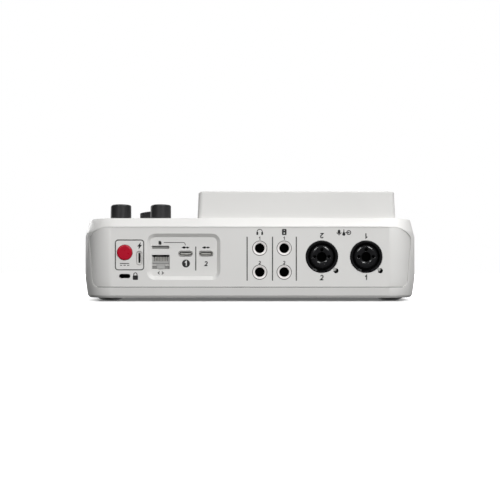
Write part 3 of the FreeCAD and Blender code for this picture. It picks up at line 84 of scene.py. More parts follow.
PANEL_FACE = 124.0      # plane of the connector panel
PANEL_FOOT = 9.3        # lower edge of the connector panel
RECESS_FLOOR = PANEL_FACE - 2.5
PORT_SETBACK = 0.3      # data ports behind the floor of the recess
SUPPLY_SETBACK = 1.0    # supply port behind the connector panel
PORT_HALF_LENGTH = 4.77
PORT_HALF_HEIGHT = 1.93
PORT_PITCH = 13.9
JACK_RISE = 8.1         # half the distance between the two rows of jacks
POWER = middle("power_button")
COMBO_1 = middle("combo_jack_1")
COMBO_2 = middle("combo_jack_2")
PHONES = middle("headphone_jacks")
MONITOR = middle("monitor_jacks")
NETWORK = middle("ethernet_port")
CARD = middle("microsd_socket")
PORTS = span("usb_ports")
PORT_2 = PORTS[0].x + PORT_HALF_LENGTH
PORT_1 = PORT_2 + PORT_PITCH
PORT_RISE = PORTS[0].z + PORT_HALF_HEIGHT
SUPPLY = PORTS[1].x - PORT_HALF_HEIGHT
SUPPLY_RISE = PORTS[1].z - PORT_HALF_LENGTH

DECK_HEIGHT = 46.15     # of the deck's plane over the middle of the console
deck_up = -Vector(joint("pad_1_press")["axis"]).normalized()
SLOPE = math.atan2(-deck_up.y, deck_up.z)
DECK = Matrix.Translation((0, 0, DECK_HEIGHT * MM)) @ Matrix.Rotation(SLOPE, 4, "X")
REAR = Matrix(((-1, 0, 0, 0), (0, 0, 1, 0), (0, 1, 0, 0), (0, 0, 0, 1)))


def rear(x, z, y=PANEL_FACE):
    """Drawing plane on the connector panel: right and up as its reader sees them."""
    return Matrix.Translation(Vector((x, y, z)) * MM) @ REAR


def deck(across, along, rise=0.0):
    """Drawing plane on the sloping deck, or on a control that stands rise above it."""
    return DECK @ Matrix.Translation(Vector((across, along, rise)) * MM)


# ---------------------------------------------------------------- materials

def new_material(name):
    """Node material with its tree and its Principled shader."""
    material = bpy.data.materials.new(name)
    material.use_nodes = True
    tree = material.node_tree
    return material, tree, tree.nodes["Principled BSDF"]


def node(tree, kind, **values):
    """Shader node with some of its properties or inputs set."""
    item = tree.nodes.new(f"ShaderNode{kind}")
    for key, value in values.items():
        if hasattr(item, key):
            setattr(item, key, value)
        else:
            item.inputs[key].default_value = value
    return item


def noise(tree, place, size, detail=3.0, roughness=0.5):
    """Noise whose features are about size millimetres across."""
    item = node(tree, "TexNoise", Scale=1 / (size * MM), Detail=detail, Roughness=roughness)
    tree.links.new(place.outputs["Object"], item.inputs["Vector"])
    return item.outputs["Fac"]


def remap(tree, value, low, high, start=0.3, end=0.7, kind="LINEAR"):
    """Turn the values between start and end into low to high."""
    item = node(tree, "MapRange", interpolation_type=kind)
    item.inputs["From Min"].default_value = start
    item.inputs["From Max"].default_value = end
    item.inputs["To Min"].default_value = low
    item.inputs["To Max"].default_value = high
    tree.links.new(value, item.inputs["Value"])
    return item.outputs["Result"]


def tinted(tree, value, color, drift):
    """Colour that drifts a little darker and lighter with a 0 to 1 value."""
    mix = node(tree, "Mix", data_type="RGBA")
    mix.inputs[6].default_value = (*[c * (1 - drift) for c in color], 1)
    mix.inputs[7].default_value = (*[min(c * (1 + drift), 1) for c in color], 1)
    tree.links.new(value, mix.inputs["Factor"])
    return mix.outputs[2]


def moulded(name, color, roughness, grain=0.16, relief=0.08, drift=0.015, edge=0.0, specular=0.5,
            coat=0.0, gloss_drift=0.04):
    """Moulded plastic: spark-eroded grain, slow drift of tone and gloss, edges softened."""
    material, tree, shader = new_material(name)
    place = node(tree, "TexCoord")
    cloud = noise(tree, place, 34, 2)
    speck = noise(tree, place, 2.2, 4, 0.6)
    tree.links.new(tinted(tree, remap(tree, cloud, 0, 1), color, drift), shader.inputs["Base Color"])
    gloss = remap(tree, speck, roughness - gloss_drift, roughness + gloss_drift)
    tree.links.new(gloss, shader.inputs["Roughness"])
    shader.inputs["Specular IOR Level"].default_value = specular
    shader.inputs["Coat Weight"].default_value = coat
    shader.inputs["Coat Roughness"].default_value = 0.08
    bump = node(tree, "Bump", Strength=relief, Distance=0.03 * MM)
    tree.links.new(noise(tree, place, grain, 2, 0.55), bump.inputs["Height"])
    if edge:
        bevel = node(tree, "Bevel", samples=6, Radius=edge * MM)
        tree.links.new(bevel.outputs["Normal"], bump.inputs["Normal"])
    tree.links.new(bump.outputs["Normal"], shader.inputs["Normal"])
    return material


def metal(name, color, roughness, metallic=1.0):
    """Plated sheet metal with fine drawing marks along X."""
    material, tree, shader = new_material(name)
    place = node(tree, "TexCoord")
    stretch = node(tree, "Mapping")
    stretch.inputs["Scale"].default_value = (0.08, 1, 1)
    tree.links.new(place.outputs["Object"], stretch.inputs["Vector"])
    marks = node(tree, "TexNoise", Scale=1 / (0.12 * MM), Detail=3)
    tree.links.new(stretch.outputs["Vector"], marks.inputs["Vector"])
    tree.links.new(tinted(tree, marks.outputs["Fac"], color, 0.08), shader.inputs["Base Color"])
    gloss = remap(tree, marks.outputs["Fac"], roughness - 0.06, roughness + 0.06)
    tree.links.new(gloss, shader.inputs["Roughness"])
    shader.inputs["Metallic"].default_value = metallic
    bump = node(tree, "Bump", Strength=0.05, Distance=0.01 * MM)
    tree.links.new(marks.outputs["Fac"], bump.inputs["Height"])
    tree.links.new(bump.outputs["Normal"], shader.inputs["Normal"])
    return material


def rubber(name, color, roughness, grain=0.3, relief=0.2, sheen=0.15):
    """Moulded rubber or silicone with a soft bloom."""
    material = moulded(name, color, roughness, grain, relief, 0.04)
    shader = material.node_tree.nodes["Principled BSDF"]
    shader.inputs["Sheen Weight"].default_value = sheen
    shader.inputs["Sheen Roughness"].default_value = 0.5
    return material


def board_lacquer():
    """Black circuit board lacquer over a faint copper pattern."""
    material, tree, shader = new_material("board_lacquer")
    place = node(tree, "TexCoord")
    bricks = node(tree, "TexBrick", Scale=1 / (7 * MM))
    bricks.inputs["Color1"].default_value = (0.003, 0.004, 0.003, 1)
    bricks.inputs["Color2"].default_value = (0.005, 0.006, 0.005, 1)
    bricks.inputs["Mortar"].default_value = (0.009, 0.010, 0.008, 1)
    tree.links.new(place.outputs["Object"], bricks.inputs["Vector"])
    tree.links.new(bricks.outputs["Color"], shader.inputs["Base Color"])
    shader.inputs["Roughness"].default_value = 0.35
    return material


WHITE = (0.72, 0.715, 0.70)
finishes = {
    "shell_white": moulded("shell_plastic", WHITE, 0.42, relief=0.10, edge=0.35),
    "panel_white": moulded("panel_plastic", (0.70, 0.695, 0.68), 0.46, relief=0.12, edge=0.2),
    "screen_white": moulded("screen_plastic", (0.71, 0.705, 0.69), 0.42, relief=0.10, edge=0.3),
    "deck_white": moulded("deck_plastic", WHITE, 0.45, relief=0.12, edge=0.15),
    "base_grey": moulded("base_plastic", (0.50, 0.50, 0.49), 0.5, relief=0.2, edge=0.2),
    "ferrule_white": moulded("ferrule_plastic", (0.80, 0.775, 0.76), 0.3, relief=0.03, edge=0.1),
    "socket_black": moulded("socket_plastic", (0.012, 0.012, 0.013), 0.17, grain=0.5, relief=0.03,
                            edge=0.15, gloss_drift=0.02),
    "jack_black": moulded("jack_plastic", (0.008, 0.008, 0.008), 0.4, relief=0.1),
    "port_metal": metal("port_shield", (0.80, 0.79, 0.76), 0.38, metallic=0.35),
    "bracket_steel": metal("plated_steel", (0.5, 0.5, 0.5), 0.4),
    "screw_black": metal("black_plating", (0.03, 0.03, 0.03), 0.35),
    "power_red": moulded("power_plastic", (0.44, 0.006, 0.024), 0.3, grain=0.4, relief=0.03,
                         edge=0.3),
    "record_red": moulded("record_plastic", (0.42, 0.012, 0.02), 0.35, relief=0.08, edge=0.2),
    "knob_charcoal": moulded("knob_plastic", (0.016, 0.016, 0.017), 0.42, relief=0.10, edge=0.25),
    "cap_charcoal": moulded("cap_plastic", (0.03, 0.03, 0.031), 0.4, relief=0.12, edge=0.4),
    "button_grey": moulded("key_plastic", (0.27, 0.27, 0.28), 0.4, relief=0.08, edge=0.2),
    "pad_silicone": rubber("pad_rubber", (0.30, 0.30, 0.31), 0.6),
    "ring_clear": moulded("ring_plastic", (0.62, 0.62, 0.64), 0.3, relief=0.05, edge=0.1),
    "screen_glass": moulded("cover_glass", (0.006, 0.006, 0.007), 0.06, grain=4, relief=0.0,
                            gloss_drift=0.01, coat=0.4),
    "display_dark": moulded("display_stack", (0.02, 0.02, 0.025), 0.3),
    "board_green": board_lacquer(),
    "foot_rubber": rubber("foot_compound", (0.012, 0.012, 0.012), 0.55),
}
ink = moulded("panel_ink", (0.018, 0.018, 0.018), 0.5, relief=0.05, drift=0.05)
ink_grey = moulded("line_ink", (0.06, 0.06, 0.058), 0.5, relief=0.05, drift=0.05)
ink_white = moulded("reversed_ink", (0.75, 0.75, 0.74), 0.5, relief=0.05)
socket_grey = moulded("socket_liner", (0.22, 0.22, 0.215), 0.4, relief=0.05)
socket_pale = moulded("socket_face", (0.40, 0.40, 0.39), 0.4, relief=0.05)
# Brighter, less metallic copy of the shield metal: a painted highlight on the port edges.
shield_highlight = metal("shield_edge_highlight", (0.86, 0.855, 0.84), 0.35, metallic=0.1)
contact_metal = metal("contact_plating", (0.52, 0.51, 0.48), 0.35, metallic=0.2)

for part in frame["record"]["subparts"]:
    for place in nodes[part["node"]].material_slots:
        place.material = finishes[part["material_slot"]]


def soften_edges(piece, width):
    """Round the sharp edges of a CAD piece by a fraction of a millimetre."""
    weld = piece.modifiers.new("weld", "WELD")
    weld.merge_threshold = 1e-6
    flat = piece.modifiers.new("flat", "DECIMATE")
    flat.decimate_type = "DISSOLVE"
    flat.angle_limit = 0.012
    bevel = piece.modifiers.new("edge", "BEVEL")
    bevel.width = width * MM
    bevel.segments = 3
    bevel.limit_method = "ANGLE"
    bevel.angle_limit = 0.5
    bevel.harden_normals = False


edge_widths = {"main_housing": 0.22, "top_panel": 0.2, "rear_panel": 0.12, "power_button": 0.25}
for name, width in edge_widths.items():
    soften_edges(nodes[name], width)


# ---------------------------------------------------------------- mesh helpers

def mesh_piece(name, bm, material, body=ROOT):
    """Turn a bmesh in metres into a piece that rides on a body."""
    bmesh.ops.recalc_face_normals(bm, faces=bm.faces)
    data = bpy.data.meshes.new(name)
    bm.to_mesh(data)
    bm.free()
    data.materials.append(material)
    piece = bpy.data.objects.new(name, data)
    bpy.context.collection.objects.link(piece)
    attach(piece, body)
    return piece


class Print:
    """Flat ink shapes on a drawing plane, in millimetres."""

    THICKNESS = 0.03
    SUNK = 0.01

    def __init__(self, plane, turn=0.0):
        self.plane = plane @ Matrix.Rotation(math.radians(turn), 4, "Z")
        self.bm = bmesh.new()

    def point(self, x, y, proud):
        """Vertex in metres at a place of the drawing."""
        return self.bm.verts.new(self.plane @ (Vector((x, y, proud)) * MM))

    def area(self, outline):
        """Filled convex outline as a thin closed slab."""
        low = [self.point(x, y, -self.SUNK) for x, y in outline]
        high = [self.point(x, y, self.THICKNESS) for x, y in outline]
        self.bm.faces.new(low)
        self.bm.faces.new(high)
        for i in range(len(outline)):
            j = (i + 1) % len(outline)
            self.bm.faces.new((low[i], low[j], high[j], high[i]))

    def stroke(self, path, width, closed=False):
        """Line of constant width along a path, mitred at its corners."""
        half = width / 2
        count = len(path)
        left, right = [], []
        for i, here in enumerate(path):
            before = path[i - 1] if i or closed else here
            after = path[(i + 1) % count] if i < count - 1 or closed else here
            a = Vector((here[0] - before[0], here[1] - before[1]))
            b = Vector((after[0] - here[0], after[1] - here[1]))
            a = a.normalized() if a.length else b.normalized()
            b = b.normalized() if b.length else a
            normal = Vector((-(a + b).y, (a + b).x)).normalized()
            reach = half / max(normal.dot(Vector((-a.y, a.x))), 0.4)
            left.append((here[0] + normal.x * reach, here[1] + normal.y * reach))
            right.append((here[0] - normal.x * reach, here[1] - normal.y * reach))
        for i in range(count if closed else count - 1):
            j = (i + 1) % count
            self.area((left[i], left[j], right[j], right[i]))

    def disc(self, x, y, radius, steps=32):
        """Filled circle."""
        self.area(arc(x, y, radius, 0, 360, steps)[:-1])

    def ring(self, x, y, radius, width, steps=40):
        """Circle drawn as a line."""
        self.stroke(arc(x, y, radius, 0, 360, steps)[:-1], width, closed=True)

    def done(self, name, material=None, body=ROOT):
        """Finish the drawing as one piece."""
        return mesh_piece(name, self.bm, material or ink, body)


def arc(x, y, radius, start, end, steps=16):
    """Points of an arc between two angles in degrees."""
    turns = [math.radians(start + (end - start) * i / steps) for i in range(steps + 1)]
    return [(x + radius * math.cos(t), y + radius * math.sin(t)) for t in turns]


def rounded(width, height, radius, x=0.0, y=0.0, steps=8):
    """Outline of a rounded rectangle, counter-clockwise."""
    points = []
    for quarter, (side, end) in enumerate(((1, 1), (-1, 1), (-1, -1), (1, -1))):
        hub = (x + side * (width / 2 - radius), y + end * (height / 2 - radius))
        points += arc(*hub, radius, quarter * 90, quarter * 90 + 90, steps)
    return points


DIGITS = {
    "1": ([(-0.24, 0.24), (0.07, 0.5), (0.07, -0.5)],),
    "2": ([*arc(0, 0.21, 0.27, 165, -40, 12), (-0.28, -0.46), (0.32, -0.46)],),
    "3": ([*arc(-0.02, 0.24, 0.24, 150, -75, 10), *arc(-0.02, -0.22, 0.27, 75, -150, 10)],),
    "4": ([(0.34, -0.2), (-0.3, -0.2), (0.12, 0.48), (0.12, -0.5)],),
}


DIGIT_STROKE = 0.24     # of a digit's height


def numeral(name, text, height, plane, turn=0.0, material=None):
    """A printed digit, centred on its drawing plane."""
    drawing = Print(plane, turn)
    for path in DIGITS[text]:
        drawing.stroke([(x * height, y * height) for x, y in path], DIGIT_STROKE * height)
    return drawing.done(name, material)


# ---------------------------------------------------------------- marks on the rear panel

def power_marks():
    """Box round the power button and supply port, bolt, direct-current sign and padlock."""
    width, height, corner, shift = 19.2, 20.2, 1.9, 1.65
    box = Print(rear((POWER.x + SUPPLY) / 2 + shift, POWER.z - shift))
    box.stroke(rounded(width, height, corner), 0.7, closed=True)
    box.done("power_outline", ink_grey)
    bolt = Print(rear(SUPPLY - 0.2, POWER.z + 4.6))
    bolt.area(((0.75, 2.5), (-1.6, -0.5), (0.1, -0.5)))
    bolt.area(((0.75, 2.5), (0.1, -0.5), (0.5, 0.5)))
    bolt.area(((-0.75, -2.5), (1.6, 0.5), (-0.1, 0.5)))
    bolt.area(((-0.75, -2.5), (-0.1, 0.5), (-0.5, -0.5)))
    bolt.done("supply_bolt")
    current = Print(rear(POWER.x, POWER.z - 8.1))
    current.area(rounded(6.4, 0.5, 0.2, 0, 0.6, 3))
    for shift in (-2.4, 0, 2.4):
        current.area(rounded(1.6, 0.5, 0.2, shift, -0.6, 3))
    current.done("direct_current_sign")
    lock = Print(rear(middle("lock_slot_bracket").x - 7.3, middle("lock_slot_bracket").z))
    lock.area(rounded(3.5, 3.0, 0.4, 0, -1.05, 4))
    lock.stroke([(-1.1, 0.3), *arc(0, 1.15, 1.1, 180, 0, 12), (1.1, 0.3)], 0.55)
    lock.done("padlock_sign")


def recess_marks():
    """Card, network and port signs on the floor of the recess."""
    badge_x, badge_z, number_width = PORT_1 - 0.3, NETWORK.z - 0.9, 3.0
    lead_corner, lead_end = 1.4, -1.9
    card = Print(rear(CARD.x + 0.4, CARD.z + 3.1, RECESS_FLOOR))
    card.area(((-0.95, -1.3), (0.95, -1.3), (0.95, 0.55), (0.35, 1.3), (-0.95, 1.3)))
    card.done("card_sign")
    lead = Print(rear(PORT_1, CARD.z + 3.3, RECESS_FLOOR))
    start = PORT_1 - CARD.x + 2.2
    bend = arc(-1.6, -lead_corner, lead_corner, 90, 0, 6)
    lead.stroke([(start, 0), *bend, (-0.2, lead_end)], 0.45)
    lead.done("card_lead", ink_grey)
    network = Print(rear(NETWORK.x, NETWORK.z - 7.3, RECESS_FLOOR))
    network.stroke([(-0.75, 0.95), (-1.8, 0), (-0.75, -0.95)], 0.55)
    network.stroke([(0.75, 0.95), (1.8, 0), (0.75, -0.95)], 0.55)
    network.done("network_sign")
    for number, x in ((1, PORT_1), (2, PORT_2)):
        sign = Print(rear(x, NETWORK.z + 10.0, RECESS_FLOOR))
        sign.stroke([(-2.5, 0), (2.5, 0)], 0.6)
        sign.area(rounded(1.8, 1.5, 0.6, -1.0, 0, 4))
        sign.area(rounded(1.0, 1.2, 0.2, 1.3, 0, 3))
        sign.done(f"port_sign_{number}")
    divider = Print(rear((PORT_1 + PORT_2) / 2, 28.9, RECESS_FLOOR))
    divider.area(rounded(0.7, 16.3, 0.2, 0, 0, 3))
    divider.done("port_divider", ink_grey)
    badge = Print(rear(badge_x, badge_z, RECESS_FLOOR))
    badge.disc(0, 0, 2.7, 40)
    badge.done("port_badge")
    numeral("port_number_1", "1", number_width, rear(badge_x, badge_z, RECESS_FLOOR + Print.THICKNESS),
            material=ink_white)
    numeral("port_number_2", "2", 2.8, rear(PORT_2 - 0.1, NETWORK.z - 1.0, RECESS_FLOOR))


def jack_marks():
    """Headphone and loudspeaker signs, numbers, dividing lines and grey rings of painted shade in the gaps round
    the jacks.
    """
    top = PHONES.z + 19.0
    gap_shade_radius = 4.93        # radius of the grey ring of painted shade over the gap round a jack
    half_line, half_length = 0.38, 14.9
    phones = Print(rear(PHONES.x, top))
    phones.stroke([(-1.8, -1.0), *arc(0, 0.1, 1.8, 170, 10, 18), (1.8, -1.0)], 0.5)
    for side in (-1, 1):
        phones.area(rounded(1.2, 2.1, 0.35, side * 1.65, -0.85, 4))
    phones.done("headphone_sign")
    speaker = Print(rear(MONITOR.x, top + 0.1))
    speaker.area(rounded(3.1, 4.1, 0.5, 0, 0, 5))
    speaker.done("loudspeaker_sign")
    cones = Print(rear(MONITOR.x, top + 0.1, PANEL_FACE + 0.02))
    cones.disc(0, 1.1, 0.3, 16)
    cones.disc(0, -0.75, 0.45, 20)
    cones.done("loudspeaker_cones", ink_white)
    for column, x in (("headphone", PHONES.x), ("monitor", MONITOR.x)):
        for number, z in ((1, PHONES.z + JACK_RISE + 6.6), (2, PHONES.z - JACK_RISE + 6.4)):
            numeral(f"{column}_number_{number}", str(number), 2.0, rear(x, z))
        for level in (1, -1):
            # Grey ring printed over the gap as painted shade.
            gap = Print(rear(x, PHONES.z + level * JACK_RISE))
            gap.ring(0, 0, gap_shade_radius, 0.38, 48)
            gap.done(f"{column}_gap_{'upper' if level > 0 else 'lower'}", ink_grey)
    gap = (MONITOR.x - PHONES.x) / 2
    lines = (PHONES.x - gap + 0.27, PHONES.x + gap - 0.35, MONITOR.x + gap + 0.1)
    for index, x in enumerate(lines):
        line = Print(rear(x, 28.8))
        line.area(((-half_line, -half_length), (half_line, -half_length),
                   (half_line, half_length), (-half_line, half_length)))
        line.done(f"panel_line_{index + 1}", ink_grey)


def input_marks():
    """Numbers and signs round the input sockets."""
    height, below, above = 3.1, 14.2, 14.3
    for number, place in ((1, COMBO_1), (2, COMBO_2)):
        text = str(number)
        numeral(f"input_number_{number}", text, height, rear(place.x, place.z - below))
        numeral(f"input_number_{number}_turned", text, height, rear(place.x, place.z + above), turn=180)
    centre, up = (COMBO_1.x + COMBO_2.x) / 2 + 0.1, COMBO_1.z + 16.4
    voice = Print(rear(centre + 3.3, up))
    voice.area(rounded(1.7, 2.6, 0.84, 0, 0.55, 6))
    voice.stroke(arc(0, 0.4, 1.5, 190, 350, 12), 0.5)
    voice.stroke([(0, -1.0), (0, -2.0)], 0.5)
    voice.done("voice_sign")
    strings = Print(rear(centre, up))
    strings.disc(0, -1.15, 1.05, 20)
    strings.disc(0, -0.1, 0.7, 16)
    strings.stroke([(0, 0), (0, 2.1)], 0.55)
    strings.done("instrument_sign")
    line = Print(rear(centre - 3.3, up))
    line.ring(0, 0, 1.3, 0.6, 24)
    line.stroke([(-2.4, 0), (-0.1, 0)], 0.5)
    line.area(((0.75, 0), (-0.35, 0.7), (-0.35, -0.7)))
    line.done("line_sign")


# ---------------------------------------------------------------- inside the sockets

def block(name, low, high, material):
    """Plain block between two corners, in millimetres."""
    bm = bmesh.new()
    bmesh.ops.create_cube(bm, size=1)
    centre = (Vector(low) + Vector(high)) / 2
    size = Vector(high) - Vector(low)
    for vert in bm.verts:
        vert.co = (centre + Vector(v * s for v, s in zip(vert.co, size))) * MM
    return mesh_piece(name, bm, material)


def network_inside():
    """Contacts, a roof blackened as painted shade, and stepped floor seen in the network socket."""
    x, z, face = NETWORK.x, NETWORK.z, span("ethernet_port")[1].y
    half, roof, step = 5.85, z + 3.7, z - 1.75
    block("network_back", (x - half, face - 2.4, step), (x + half, face - 2.2, roof), socket_grey)
    # Painted shade: the roof block is black so the top of the socket reads as shadowed.
    block("network_roof_shade", (x - half, face - 2.2, roof), (x + half, face - 0.3, z + 4.8),
          finishes["jack_black"])
    for index in range(8):
        across = x + (index - 3.5) * 1.05
        block(f"network_contact_{index + 1}", (across - 0.29, face - 2.2, z + 0.6),
              (across + 0.29, face - 0.5, roof), contact_metal)
    for side, label in ((1, "left"), (-1, "right")):
        edges = sorted((x + side * half, x + side * (half - 1.2)))
        block(f"network_post_{label}", (edges[0], face - 2.2, z), (edges[1], face - 0.5, roof),
              socket_pale)
    block("network_shelf", (x - half, face - 2.2, z - 0.7), (x + half, face - 0.3, z + 0.6),
          socket_pale)
    block("network_ledge", (x - half, face - 1.8, z - 2.3), (x + half, face - 0.2, z - 0.95),
          socket_pale)
    block("network_sill", (x - half, face - 1.8, z - 4.6), (x + half, face + 0.05, z - 2.3),
          socket_grey)
    block("network_lip", (x - 2.6, face - 0.2, z - 4.3), (x + 2.6, face + 0.15, z - 2.3),
          socket_pale)
    block("card_guide", (CARD.x - 5.6, face - 0.6, CARD.z - 1.0),
          (CARD.x + 5.6, face + 1.2, CARD.z + 0.35), socket_grey)


def port_rims():
    """Shield edges of the three ports, printed as bright rings of painted highlight, and the dark tongue of the
    supply port.
    """
    face = RECESS_FLOOR - PORT_SETBACK
    supply_face = PANEL_FACE - SUPPLY_SETBACK
    tongue_half_width, tongue_half_height = 0.4, 3.2
    for number, x in ((1, PORT_1), (2, PORT_2)):
        # Bright ring on the shield's front edge: painted highlight.
        rim = Print(rear(x, PORT_RISE, face))
        rim.stroke(rounded(8.6, 2.95, 1.4), 0.75, closed=True)
        rim.done(f"port_rim_{number}", shield_highlight)
    # Same painted highlight round the supply port.
    rim = Print(rear(SUPPLY, SUPPLY_RISE, supply_face), 90)
    rim.stroke(rounded(8.1, 2.5, 1.2), 0.9, closed=True)
    rim.done("supply_rim", shield_highlight)
    block("supply_tongue",
          (SUPPLY - tongue_half_width, supply_face - 1, SUPPLY_RISE - tongue_half_height),
          (SUPPLY + tongue_half_width, supply_face + 0.05, SUPPLY_RISE + tongue_half_height),
          finishes["jack_black"])


def seam_shade_strip():
    """Dark strip of painted shade in the seam under the connector panel, following the panel's face."""
    panel = nodes["rear_panel"]
    tree = BVHTree.FromObject(panel, bpy.context.evaluated_depsgraph_get())
    to_panel = panel.matrix_world.inverted()
    reach, spacing, height, front, back = 104, 4, 0.45, 0.05, 1
    section = ((front, 0), (front, height), (back, height), (back, 0))
    bm = bmesh.new()
    rings = []
    for x in range(-reach, reach + 1, spacing):
        start = to_panel @ (Vector((x, 2 * PANEL_FACE, PANEL_FOOT + 1.5)) * MM)
        hit = tree.ray_cast(start, to_panel.to_3x3() @ Vector((0, -1, 0)))[0]
        face = (panel.matrix_world @ hit).y / MM
        rings.append([bm.verts.new(Vector((x, face - depth, PANEL_FOOT + rise)) * MM)
                      for depth, rise in section])
    for here, there in zip(rings, rings[1:]):
        for k in range(4):
            m = (k + 1) % 4
            bm.faces.new((here[k], here[m], there[m], there[k]))
    bm.faces.new(rings[0])
    bm.faces.new(rings[-1])
    mesh_piece("seam_shade_strip", bm, finishes["foot_rubber"])


def lathe(name, profile, plane, material, steps=72):
    """Closed ring turned about a plane's own Z from (radius, height) corners."""
    bm = bmesh.new()
    rings = []
    for i in range(steps):
        turn = 2 * math.pi * i / steps
        c, s = math.cos(turn), math.sin(turn)
        rings.append([bm.verts.new(plane @ (Vector((r * c, r * s, h)) * MM)) for r, h in profile])
    for i in range(steps):
        here, there = rings[i], rings[(i + 1) % steps]
        for k in range(len(profile)):
            m = (k + 1) % len(profile)
            face = bm.faces.new((here[k], there[k], there[m], here[m]))
            face.smooth = True
    return mesh_piece(name, bm, material)


def combo_inside():
    """Domed contact insert with three pin holes, and the screw tab, of each input socket."""
    pin_circle, pin_radius, tab_reach = 4.8, 1.15, 8.35
    for number, place in ((1, COMBO_1), (2, COMBO_2)):
        dome = lathe(f"combo_dome_{number}",
                     ((3.32, -2.2), (3.32, -1.75), (4.1, -1.2), (5.6, -0.95), (6.9, -1.2),
                      (7.6, -1.75), (7.9, -2.2)),
                     rear(place.x, place.z), finishes["socket_black"])
        cutter = bmesh.new()
        for side, up in ((1, 0), (0, 1), (-1, 0)):
            offset = Vector((side, up, 0)) * pin_circle * MM
            spot = rear(place.x, place.z) @ Matrix.Translation(offset)
            bmesh.ops.create_cone(cutter, cap_ends=True, segments=24, radius1=pin_radius * MM,
                                  radius2=pin_radius * MM, depth=9 * MM, matrix=spot)
        holes = mesh_piece(f"combo_pin_tool_{number}", cutter, finishes["jack_black"])
        trim = dome.modifiers.new("pins", "BOOLEAN")
        trim.object, trim.solver = holes, "EXACT"
        graph = bpy.context.evaluated_depsgraph_get()
        pierced = bpy.data.meshes.new_from_object(dome.evaluated_get(graph))
        dome.modifiers.remove(trim)
        dome.data = pierced
        bpy.data.objects.remove(holes)
        tab = Print(rear(place.x - tab_reach, place.z - tab_reach), -45)
        tab.area(rounded(2.8, 1.7, 0.3, 0, 0, 4))
        tab.done(f"combo_tab_{number}", socket_pale)


# ---------------------------------------------------------------- deck graphics and screen

def deck_place(node_name):
    """Across and along of a control's middle on the deck."""
    local = DECK.inverted() @ (middle(node_name) * MM)
    return local.x / MM, local.y / MM


CAP_WAIST = 7.6         # height of a fader cap's saddle above the deck
KEY_RISE = 1.3          # height of a key's top above the deck
CHANNEL_NUMBERS = 22    # distance of the channel numbers from the deck's middle


def fader_marks():
    """Scale beside every fader, channel number above it and a white line on its cap."""
    start, spacing = 7.2, 10
    for channel in range(1, 5):
        across, along = deck_place(f"fader_cap_{channel}")
        scale = Print(deck(across, along))
        for step in range(-3, 4):
            reach = 3.4 if step % 3 == 0 else 2.2
            up = step * spacing
            for side in (1, -1):
                scale.stroke([(side * start, up), (side * (start + reach), up)], 0.35)
        scale.done(f"fader_scale_{channel}", ink_grey)
        numeral(f"channel_number_{channel}", str(channel), 3.4, deck(across, CHANNEL_NUMBERS))
        body = joint(f"fader_{channel}_slide")["child"]
        line = Print(deck(across, along, CAP_WAIST))
        line.area(rounded(11.3, 0.9, 0.3, 0, 0, 3))
        line.done(f"fader_line_{channel}", ink_white, body)


def control_sign(name, draw, key, material=None):
    """Sign printed on a moving key, riding with it."""
    across, along = deck_place(key)
    sign = Print(deck(across, along, KEY_RISE))
    draw(sign)
    sign.done(name, material, joint(f"{key}_press")["child"])


def headphone_shape(sign):
    """Small headphones."""
    sign.stroke(arc(0, -0.2, 1.4, 175, 5, 12), 0.4)
    for side in (1, -1):
        sign.area(rounded(0.9, 1.5, 0.25, side * 1.35, -0.8, 3))


def mute_shape(sign):
    """Struck-out loudspeaker."""
    sign.area(((-1.6, -0.5), (-0.9, -0.5), (-0.9, 0.5), (-1.6, 0.5)))
    sign.area(((-0.9, -0.5), (0.2, -1.3), (0.2, 1.3), (-0.9, 0.5)))
    sign.stroke([(0.8, -0.7), (2.0, 0.7)], 0.35)
    sign.stroke([(0.8, 0.7), (2.0, -0.7)], 0.35)


def select_shape(sign):
    """Short level bars."""
    for index, height in enumerate((1.0, 1.8, 2.6)):
        sign.area(rounded(0.7, height, 0.15, (index - 1) * 1.3, height / 2 - 1.3, 3))


def arrow_shape(turn):
    """Arrow head that points left or right."""
    def draw(sign):
        sign.stroke([(turn * -0.6, 1.1), (turn * 0.6, 0), (turn * -0.6, -1.1)], 0.5)
    return draw


def key_signs():
    """Signs on the channel keys, the bank keys and the record key."""
    shapes = {"select": select_shape, "listen": headphone_shape, "mute": mute_shape}
    for channel in range(1, 5):
        for row, draw in shapes.items():
            control_sign(f"{row}_sign_{channel}", draw, f"{row}_button_{channel}")
    for side, turn in (("left", -1), ("right", 1)):
        control_sign(f"bank_sign_{side}", arrow_shape(turn), f"bank_button_{side}")
    control_sign("record_sign", lambda sign: sign.ring(0, 0, 4.2, 0.7, 40), "record_button",
                 ink_white)


def display_color(name, color):
    """Softly lit picture element seen through the cover glass."""
    material = moulded(name, color, 0.1, grain=4, relief=0.0, drift=0.06, coat=0.4)
    shader = material.node_tree.nodes["Principled BSDF"]
    shader.inputs["Emission Color"].default_value = (*color, 1)
    shader.inputs["Emission Strength"].default_value = 0.35
    return material


SCREEN_TILT = math.radians(14.5)
GLASS_HALF = 0.55       # half the thickness of the cover glass


